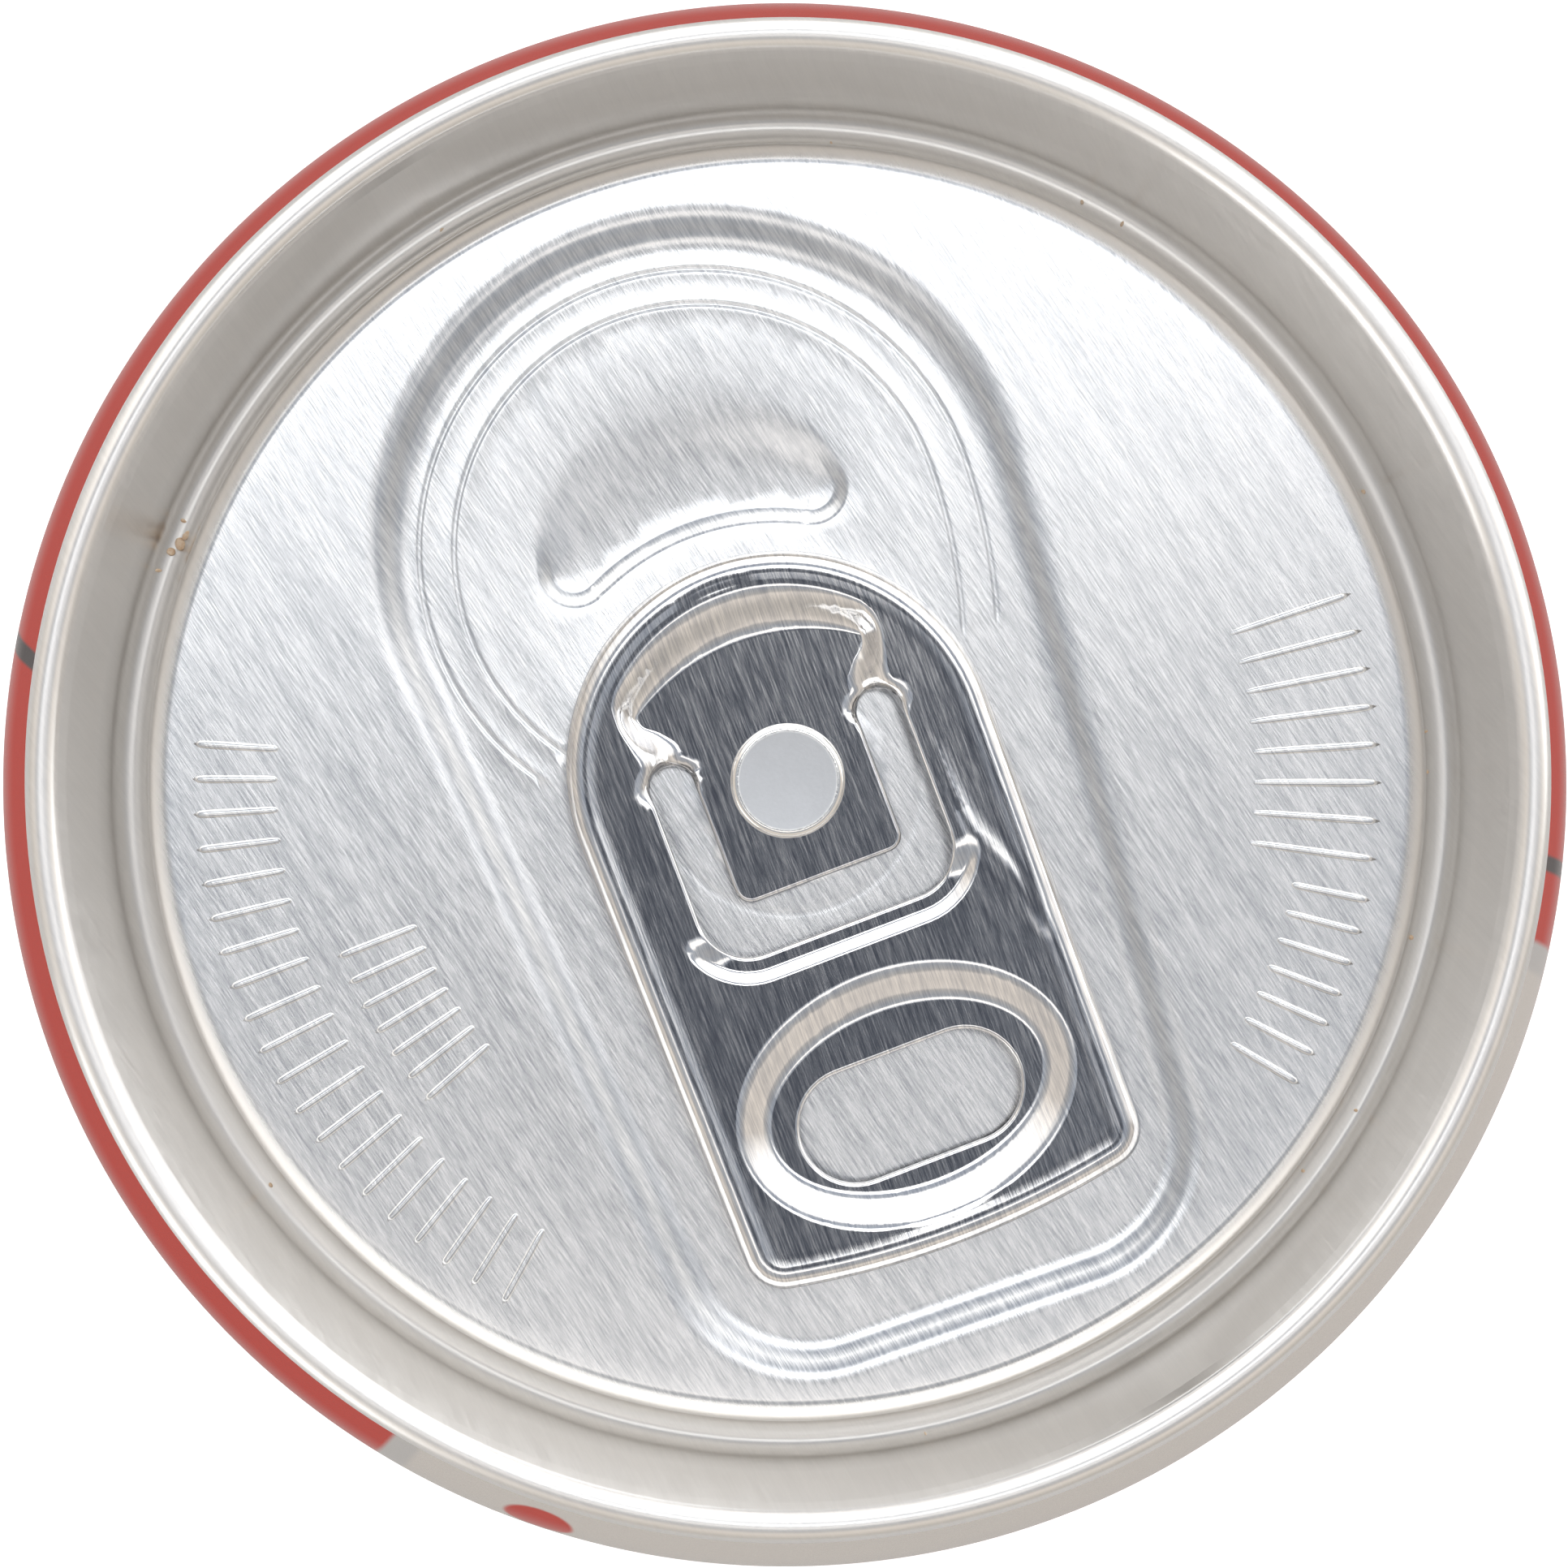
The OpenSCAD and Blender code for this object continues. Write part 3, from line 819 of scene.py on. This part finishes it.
def ellipse(mid, a, b, steps):
    angles = [2 * math.pi * i / steps for i in range(steps)]
    return [(mid[0] + a * math.cos(t), mid[1] + b * math.sin(t)) for t in angles]


def ring_loops():
    """Outer and inner edge of the ring's slope."""
    return ellipse((0, ring_y), 6.25, 4.6, 120), ellipse((0, ring_y), 5.05, 3.15, 120)


def lower_void_line():
    """The opening's lower edge: down one side, round two corners and up to the other side."""
    corner_x, corner_y = void_half_w - void_corner_r, void_low_y + void_corner_r
    return (
        arc((-corner_x, corner_y), void_corner_r, 180, 270, 12)
        + arc((corner_x, corner_y), void_corner_r, 270, 360, 12)
    )


def void_loop():
    """The U-shaped opening round the tongue."""
    arm_x, arm_r = (void_half_w + tongue_half_w) / 2, (void_half_w - tongue_half_w) / 2
    in_x, in_y = tongue_half_w - tongue_corner_r, tongue_low_y + tongue_corner_r
    return (
        lower_void_line()
        + arc((arm_x, arm_top_y), arm_r, 0, 180, 14)
        + arc((in_x, in_y), tongue_corner_r, 0, -90, 6)
        + arc((-in_x, in_y), tongue_corner_r, -90, -180, 6)
        + arc((-arm_x, arm_top_y), arm_r, 0, 180, 14)
    )


def flange_line():
    """The opening's lower edge and a little of its sides, where the sheet turns down."""
    return [(-void_half_w, -3.2)] + lower_void_line() + [(void_half_w, -3.2)]


def finger_loop():
    """The plain oval hole in the ring."""
    return (
        arc((hole_end_x, hole_y), hole_end_r, -90, 90, 20)
        + arc((-hole_end_x, hole_y), hole_end_r, 90, 270, 20)
    )


def low_pan_loop():
    """Edge of the low flat that runs from the nose's slope down to the tongue."""
    side = [(tongue_half_w, -4.0), (tongue_half_w, 2.0), (3.3, 2.7), (3.75, 3.25), (4.2, 3.6), (4.3, 3.98)]
    right = side + arc((0, -2.45), 7.75, 56.3, 90, 14)[1:]
    return right + mirrored(right[:-1])[::-1]


def pan_rise_loop():
    """Where the slope round that flat reaches the web again."""
    side = [(void_half_w, -4.0), (void_half_w, 1.9), (4.72, 2.5), (4.85, 3.1), (5.0, 3.8), (4.98, 4.5)]
    right = side + [(4.8, 5.03)] + arc((0, nose_y), 6.6, 43.3, 90, 16)[1:]
    return right + mirrored(right[:-1])[::-1]


def resampled(line, count):
    """The same closed line as that many points, evenly spaced, from the same start."""
    p = np.array(line + line[:1])
    run = np.concatenate([[0], np.cumsum(np.hypot(*np.diff(p, axis=0).T))])
    at = np.linspace(0, run[-1], count, endpoint=False)
    return np.stack([np.interp(at, run, p[:, 0]), np.interp(at, run, p[:, 1])], axis=1)


def steps_between(outer, inner, count):
    """Loops from just outside the outer one to just inside the inner one."""
    a, b = resampled(outer, count), resampled(inner, count)
    return [[tuple(q) for q in a + (b - a) * t] for t in (-0.05, 0, 0.12, 0.3, 0.5, 0.7, 0.88, 1, 1.05)]


def between(points, outer, inner):
    """0 outside the outer loop, 1 inside the inner one, and even steps from one to the other."""
    far = gap_to_line(points, outer)
    near = gap_to_line(points, inner)
    share = far / np.maximum(far + near, 1e-9)
    return np.where(inside(points, inner), 1.0, np.where(inside(points, outer), share, 0.0))


def tab_heights(points):
    """Heights of the tab over its own lowest point: top and underside."""
    gap = np.maximum(depth_in(points, tab_loop()), 0)
    curl = np.sqrt(np.maximum(curl_r**2 - (curl_r - np.minimum(gap, 2 * curl_r)) ** 2, 0))
    top = np.where(gap < curl_r, curl_r + curl, tab_thick)
    top -= (tab_thick - web_top) * eased((gap - curl_r) / 0.5)
    low = between(points, pan_rise_loop(), low_pan_loop())
    top -= (web_top - web_thick) * pressed(low, 0.4)
    ring = between(points, *ring_loops())
    top -= ring_drop * pressed(ring, 0.28)
    void = gap_to_line(points, void_loop())
    lower = eased((-4.2 - points[:, 1]) / 1.1)
    top -= flange_drop * pressed((flange_w - void) / flange_slope_w, 0.3) * lower
    x, y = points.T
    crease_line = [(5.0, -0.8), (5.5, -4.0), (6.3, -6.0), (6.7, -8.0)]
    crease = gap_to_line(points, crease_line, closed=False)
    top += crease_h * np.exp(-((crease / 0.3) ** 2)) * eased((void - 0.3) / 0.3)
    bar_x = np.clip(np.minimum(x + 1.7, 1.5 - x) / 0.2, 0, 1)
    bar_y = np.clip((0.35 - np.abs(y - 7.5)) / 0.14, 0, 1)
    top -= bar_depth * eased(bar_x * bar_y)
    under = np.where(gap < 2 * curl_r, curl_r - curl, top - web_thick)
    arm_end = eased((y - 0.7) / 0.8) * (np.abs(x) > 3)
    top -= rounding(void, 0.13 + 0.3 * arm_end)
    top -= rounding(gap_to_line(points, finger_loop()), edge_round_r)
    return top, np.minimum(under, top)


def make_tab(metal):
    """One closed sheet: the same triangles on top and underneath, with walls round every edge."""
    outline = tab_loop()
    cut_holes = [void_loop(), finger_loop()]
    holes = cut_holes + [ellipse((0, 0), shank_hole_r, shank_hole_r, 40)]
    insets = (0.012, 0.05, 0.11, 0.2, 0.31, 0.44, 0.6, 0.8, 1.0, 1.2, 1.26)
    loops = [spaced(outline, 0.3)] + [spaced(tab_loop(inset), 0.3) for inset in insets]
    loops += [spaced(hole, 0.25) for hole in holes]
    for hole in cut_holes:
        for away in (0.02, 0.06, 0.1, 0.14, 0.17, 0.21):
            loops.append(shifted(spaced(hole, 0.25), -away))
    loops += steps_between(*ring_loops(), 130)
    loops += steps_between(pan_rise_loop(), low_pan_loop(), 170)
    flange = spaced(flange_line(), 0.3, closed=False)
    flange_steps = (0.48, 0.53, 0.6, 0.7, 0.8, 0.9, flange_w, 1.03)
    lines = [shifted(flange, -away, closed=False) for away in flange_steps]
    box = (-nose_r, nose_r, -18, 8.6)

    def on_tab(points):
        kept = inside(points, outline)
        for hole in holes:
            kept &= ~inside(points, hole)
        return kept

    flat, tris = plan_mesh(loops, lines, 0.24, box, on_tab)
    top, low = tab_heights(flat)
    turn = math.radians(tab_turn)
    cos, sin = math.cos(turn), math.sin(turn)
    plan = [(x * cos - y * sin, x * sin + y * cos) for x, y in flat]
    verts = [(x, y, tab_z + h) for (x, y), h in zip(plan, top)]
    verts += [(x, y, tab_z + h) for (x, y), h in zip(plan, low)]
    count = len(flat)
    faces = [tuple(int(i) for i in t) for t in tris]
    faces += [tuple(int(i) + count for i in t[::-1]) for t in tris]
    for a, b in boundary_edges(tris):
        if top[a] - low[a] > 1e-5 or top[b] - low[b] > 1e-5:
            faces.append((b, a, a + count, b + count))
    tab = mesh_object("tab_plate", verts, faces)
    add_grain(tab, tab_turn)
    return finished(tab, "tab_metal", metal, "tab")


# ---------- wall ----------

def make_wall(ink):
    """The wall with everything inside it as one solid, up to the underside of the lid."""
    top = floor_z - sheet - bean_depth - 0.08
    under_r = groove_r + sheet + 0.01
    profile = (
        base_profile()
        + shoulder_profile()
        + [under_start]
        + arc((groove_x, groove_z), under_r, -chuck_lean, -180, 18)
        + [(groove_x - under_r, top), (0, top)]
    )
    wall = turned("can_wall", profile, ink)
    return finished(wall, "can_print", ink, "body")


# ---------- repeated small things ----------

def tick_tree():
    """Rounded bars stood on points: each point carries its heading and its length."""
    tree, start, finish = node_tree("pressed_ticks", [
        ("Width", "NodeSocketFloat", tick_w * MM),
        ("Height", "NodeSocketFloat", tick_h * MM),
        ("Material", "NodeSocketMaterial", None),
    ])
    link = tree.links.new
    line = add(tree, "GeometryNodeCurvePrimitiveLine")
    line.inputs["Start"].default_value = (-0.5, 0, 0)
    line.inputs["End"].default_value = (0.5, 0, 0)
    cut = add(tree, "GeometryNodeResampleCurve")
    cut.inputs["Count"].default_value = 15
    along = add(tree, "GeometryNodeSplineParameter").outputs["Factor"]
    from_middle = maths(tree, "ABSOLUTE", maths(tree, "MULTIPLY_ADD", along, 2.0, -1.0))
    taper = maths(tree, "SQRT", maths(tree, "SUBTRACT", 1.0, maths(tree, "POWER", from_middle, 9.0)))
    profile = add(tree, "GeometryNodeCurvePrimitiveCircle")
    profile.inputs["Resolution"].default_value = 12
    profile.inputs["Radius"].default_value = 0.5
    sweep = add(tree, "GeometryNodeCurveToMesh")
    on_points = add(tree, "GeometryNodeInstanceOnPoints")
    turn = add(tree, "ShaderNodeCombineXYZ")
    size = add(tree, "ShaderNodeCombineXYZ")
    realize = add(tree, "GeometryNodeRealizeInstances")
    merge = add(tree, "GeometryNodeMergeByDistance")
    merge.inputs["Distance"].default_value = 1e-7
    smooth = add(tree, "GeometryNodeSetShadeSmooth")
    paint = add(tree, "GeometryNodeSetMaterial")
    chained(tree, line, cut, sweep)
    link(taper, sweep.inputs["Scale"])
    link(profile.outputs["Curve"], sweep.inputs["Profile Curve"])
    link(sweep.outputs["Mesh"], on_points.inputs["Instance"])
    link(named_number(tree, "heading"), turn.inputs["Z"])
    link(turn.outputs[0], on_points.inputs["Rotation"])
    link(named_number(tree, "length"), size.inputs["X"])
    link(start.outputs["Width"], size.inputs["Y"])
    link(maths(tree, "MULTIPLY", start.outputs["Height"], 2.0), size.inputs["Z"])
    link(size.outputs[0], on_points.inputs["Scale"])
    link(start.outputs["Material"], paint.inputs["Material"])
    chained(tree, start, on_points, realize, merge, smooth, paint, finish)
    return tree


def marked_points(name, places, **values):
    """A mesh of loose points that each carry the named numbers."""
    mesh = bpy.data.meshes.new(name)
    mesh.from_pydata([tuple(c * MM for c in p) for p in places], [], [])
    for key, numbers in values.items():
        layer = mesh.attributes.new(key, "FLOAT", "POINT")
        layer.data.foreach_set("value", numbers)
    return mesh


def make_ticks(metal, turn):
    # First and last angle, how far in from the panel's edge, length and number of ticks
    rows = [
        (157, 222, 4.0, 3.2, 20),
        (182, 202, 8.0, 3.2, 7),
        (-1, -27, 5.7, 4.9, 8),
        (-31, -50, 3.8, 3.0, 7),
    ]
    places, headings, lengths = [], [], []
    for first, last, set_in, length, count in rows:
        r = panel_r - set_in + length / 2
        z = panel_z - crown * (r / panel_r) ** 2 - 0.01
        for i in range(count):
            angle = math.radians(first + (last - first) * i / (count - 1))
            places.append((r * math.cos(angle), r * math.sin(angle), z))
            headings.append(angle)
            lengths.append(length * MM)
    mesh = marked_points("panel_ticks", places, heading=headings, length=lengths)
    sizes = {"Width": tick_w * MM, "Height": tick_h * MM, "Material": metal}
    ticks = grown("panel_ticks", tick_tree(), mesh, sizes)
    add_grain(ticks, turn)
    return finished(ticks, "lid_metal", metal)


def crumb_tree():
    """Rough little crumbs on points, each with its own size, turn and lumps."""
    tree, start, finish = node_tree("groove_crumbs", [
        ("Seed", "NodeSocketInt", 7),
        ("Lumps", "NodeSocketFloat", 0.03 * MM),
        ("Material", "NodeSocketMaterial", None),
    ])
    link = tree.links.new
    ball = add(tree, "GeometryNodeMeshIcoSphere")
    ball.inputs["Radius"].default_value = 1.0
    ball.inputs["Subdivisions"].default_value = 3
    on_points = add(tree, "GeometryNodeInstanceOnPoints")
    stretch = add(tree, "FunctionNodeRandomValue", data_type="FLOAT_VECTOR")
    stretch.inputs[0].default_value = (0.7, 0.5, 0.35)
    stretch.inputs[1].default_value = (1.5, 1.0, 0.7)
    scaled = add(tree, "ShaderNodeVectorMath", operation="SCALE")
    spin = add(tree, "FunctionNodeRandomValue", data_type="FLOAT_VECTOR")
    spin.inputs[1].default_value = (0.4, 0.4, 6.28)
    realize = add(tree, "GeometryNodeRealizeInstances")
    noise = add(tree, "ShaderNodeTexNoise")
    noise.inputs["Scale"].default_value = 6000.0
    centred = add(tree, "ShaderNodeVectorMath", operation="SUBTRACT")
    centred.inputs[1].default_value = (0.5, 0.5, 0.5)
    lump = add(tree, "ShaderNodeVectorMath", operation="SCALE")
    push = add(tree, "GeometryNodeSetPosition")
    smooth = add(tree, "GeometryNodeSetShadeSmooth")
    paint = add(tree, "GeometryNodeSetMaterial")
    link(ball.outputs["Mesh"], on_points.inputs["Instance"])
    link(start.outputs["Seed"], stretch.inputs["Seed"])
    link(named_number(tree, "size"), scaled.inputs["Scale"])
    chained(tree, stretch, scaled)
    link(scaled.outputs[0], on_points.inputs["Scale"])
    link(start.outputs["Seed"], spin.inputs["Seed"])
    link(spin.outputs[0], on_points.inputs["Rotation"])
    link(noise.outputs["Color"], centred.inputs[0])
    link(start.outputs["Lumps"], lump.inputs["Scale"])
    chained(tree, centred, lump)
    link(lump.outputs[0], push.inputs["Offset"])
    link(start.outputs["Material"], paint.inputs["Material"])
    chained(tree, start, on_points, realize, push, smooth, paint, finish)
    return tree


def groove_height(r):
    """Height of the lid's surface at a radius in or next to the groove."""
    away = min(abs(r - groove_x), groove_r)
    return groove_z - math.sqrt(groove_r**2 - away**2)


def make_crumbs(dirt):
    """Crumbs left in the groove: a small cluster and some single ones."""
    # Angle, radius and size of each
    spots = [
        (139.2, 23.5, 0.24), (140.1, 23.7, 0.16), (138.3, 23.4, 0.14), (142.0, 23.9, 0.09),
        (137.2, 23.7, 0.08), (7.3, 23.3, 0.08), (-14.9, 23.1, 0.07), (-18.5, 23.1, 0.06),
        (-33.4, 23.2, 0.1), (-49.4, 23.7, 0.08), (-56.4, 23.3, 0.09), (39.6, 23.5, 0.1),
        (43.6, 23.5, 0.07), (102.6, 23.5, 0.07), (66.6, 23.1, 0.06), (-97.4, 24.0, 0.07),
        (198.6, 23.6, 0.09),
    ]
    places, sizes = [], []
    for degrees, r, size in spots:
        angle = math.radians(degrees)
        places.append((r * math.cos(angle), r * math.sin(angle), groove_height(r) + size * 0.25))
        sizes.append(size * MM)
    mesh = marked_points("groove_crumbs", places, size=sizes)
    values = {"Seed": 7, "Lumps": 0.05 * MM, "Material": dirt}
    crumbs = grown("groove_crumbs", crumb_tree(), mesh, values)
    return finished(crumbs, "lid_metal", dirt)


# ---------- stage ----------

def make_floor():
    """Pale floor that looks plain white but adds no light of its own to the can."""
    bm = bmesh.new()
    bmesh.ops.create_circle(bm, cap_ends=True, segments=96, radius=3.0)
    mesh = bpy.data.meshes.new("floor")
    bm.to_mesh(mesh)
    bm.free()
    floor = bpy.data.objects.new("floor", mesh)
    floor.location = (0, 0, -0.0003)
    bpy.context.collection.objects.link(floor)
    s = Shader("floor_paper")
    s.set(Base_Color=(0.6, 0.6, 0.6, 1), Roughness=0.7)
    seen = s.nodes.new("ShaderNodeLightPath").outputs["Is Camera Ray"]
    s.set(Emission_Color=(1, 1, 1, 1), Emission_Strength=s.math("MULTIPLY", seen, 0.75))
    mesh.materials.append(s.material)


# Colour of the surround, by degrees down from straight overhead
WHITE_SIDE = [
    (0, (2.8, 2.8, 2.8)), (14, (2.8, 2.8, 2.8)), (18, (0.42, 0.46, 0.53)), (31, (0.44, 0.47, 0.53)),
    (36, (2.1, 2.07, 2.02)), (60, (2.1, 2.07, 2.02)), (90, (1.5, 1.48, 1.45)),
]
WARM_SIDE = [
    (0, (1.35, 1.32, 1.28)), (7, (1.5, 1.46, 1.41)), (9, (1.85, 1.77, 1.69)), (14, (1.8, 1.7, 1.6)),
    (18, (0.46, 0.48, 0.51)), (28, (0.42, 0.43, 0.45)), (42, (0.50, 0.48, 0.46)),
    (48, (0.82, 0.75, 0.68)), (90, (0.46, 0.43, 0.39)),
]
GREY_BAND = (0.41, 0.44, 0.49)
DARK_SPOT = (0.075, 0.084, 0.106)
LOW_STRIP = (2.7, 2.7, 2.67)
# The nodes hold each of these as a share of this brightness
PEAK = 3.0


def make_sky():
    """Soft studio surround: white on one side, warm on the other, dark right overhead."""
    world = bpy.data.worlds.new("studio")
    bpy.context.scene.world = world
    world.use_nodes = True
    tree = world.node_tree
    nodes, link = tree.nodes, tree.links.new
    way = nodes.new("ShaderNodeTexCoord").outputs["Generated"]

    def along(vector):
        node = nodes.new("ShaderNodeVectorMath")
        node.operation = "DOT_PRODUCT"
        link(way, node.inputs[0])
        node.inputs[1].default_value = vector
        return node.outputs["Value"]

    def ramp(value, stops):
        node = nodes.new("ShaderNodeValToRGB")
        link(value, node.inputs[0])
        points = node.color_ramp.elements
        while len(points) < len(stops):
            points.new(0.5)
        for point, (place, colour) in zip(points, stops):
            point.position = place
            point.color = (*[c / PEAK for c in colour], 1)
        return node.outputs[0]

    def linear(value, low, high):
        node = nodes.new("ShaderNodeMapRange")
        link(value, node.inputs[0])
        node.inputs[1].default_value = low
        node.inputs[2].default_value = high
        return node.outputs[0]

    def over(base, share, colour):
        """That colour laid over the base wherever share is 1."""
        node = nodes.new("ShaderNodeMix")
        node.data_type = "RGBA"
        link(share, node.inputs["Factor"])
        link(base, node.inputs[6])
        if isinstance(colour, bpy.types.NodeSocket):
            link(colour, node.inputs[7])
        else:
            node.inputs[7].default_value = (*[c / PEAK for c in colour], 1)
        return node.outputs[2]

    def calc(operation, a, b=None):
        node = nodes.new("ShaderNodeMath")
        node.operation = operation
        for value, socket in zip((a, b), node.inputs):
            if isinstance(value, bpy.types.NodeSocket):
                link(value, socket)
            elif value is not None:
                socket.default_value = value
        return node.outputs[0]

    degree = math.pi / 180
    bright = 63 * degree
    angle = calc("ARCCOSINE", along((0, 0, 1)))
    down = linear(angle, 0, math.pi / 2)
    lean = along((math.cos(bright), math.sin(bright), 0))
    share = linear(calc("DIVIDE", lean, calc("SINE", angle)), 0.2, 0.85)
    white = ramp(down, [(degrees / 90, colour) for degrees, colour in WHITE_SIDE])
    warm = ramp(down, [(degrees / 90, colour) for degrees, colour in WARM_SIDE])
    off_band = calc("ABSOLUTE", calc("ADD", lean, 1.0 * degree))
    in_band = linear(off_band, 7.0 * degree, 4.3 * degree)
    high_up = linear(angle, 24 * degree, 16 * degree)
    overhead = linear(angle, 5.3 * degree, 4.3 * degree)
    strips = calc("ADD", *[
        linear(along((math.cos(a * degree), math.sin(a * degree), 0)), 0.90, 0.96) for a in (0, 200)
    ])
    low = linear(angle, 58 * degree, 72 * degree)
    sky = over(warm, share, white)
    sky = over(sky, calc("MULTIPLY", in_band, high_up), GREY_BAND)
    sky = over(sky, overhead, DARK_SPOT)
    sky = over(sky, calc("MULTIPLY", low, calc("MINIMUM", strips, 1.0)), LOW_STRIP)
    background = nodes["Background"]
    link(sky, background.inputs["Color"])
    background.inputs["Strength"].default_value = PEAK


def make_camera():
    """Straight above, a little off the can's axis, turned so that the tab leans to the left."""
    place = Vector((-4.19, -2.87, 446.0)) * MM
    aim = Vector((-0.217, -0.104, 156.0)) * MM
    back = (place - aim).normalized()
    right = Vector((0.943, -0.332, 0))
    right = (right - back * right.dot(back)).normalized()
    up = back.cross(right)
    data = bpy.data.cameras.new("camera")
    data.lens = 189
    data.sensor_width = 36
    data.clip_start = 0.01
    data.clip_end = 20
    camera = bpy.data.objects.new("camera", data)
    bpy.context.collection.objects.link(camera)
    turn = Matrix([right, up, back]).transposed().to_4x4()
    camera.matrix_world = Matrix.Translation(place) @ turn
    bpy.context.scene.camera = camera


def make_everything():
    lid_turn = 14.0
    lid_metal = rolled_sheet(
        "lid_rolled_metal", bright=(0.89, 0.893, 0.90), dull=(0.63, 0.643, 0.662), rough=(0.18, 0.25),
        turn=lid_turn, streak=(0.06, 0.9), deep=0.0045, anisotropy=0.75, formed_from=panel_r,
    )
    tab_metal = rolled_sheet(
        "tab_rolled_metal", bright=(0.93, 0.92, 0.91), dull=(0.60, 0.61, 0.64), rough=(0.08, 0.14),
        turn=tab_turn, streak=(0.065, 1.2), deep=0.0015, anisotropy=0.4,
    )
    coined = coined_head("rivet_coined_metal", (0.66, 0.68, 0.71), 0.3)
    make_wall(can_print())
    make_lid(lid_metal, lid_turn)
    make_rivet(coined)
    make_ticks(lid_metal, lid_turn)
    make_tab(tab_metal)
    make_crumbs(crumb_dirt())
    make_floor()
    make_sky()
    make_camera()
    bpy.context.scene.view_settings.view_transform = "Standard"


make_everything()
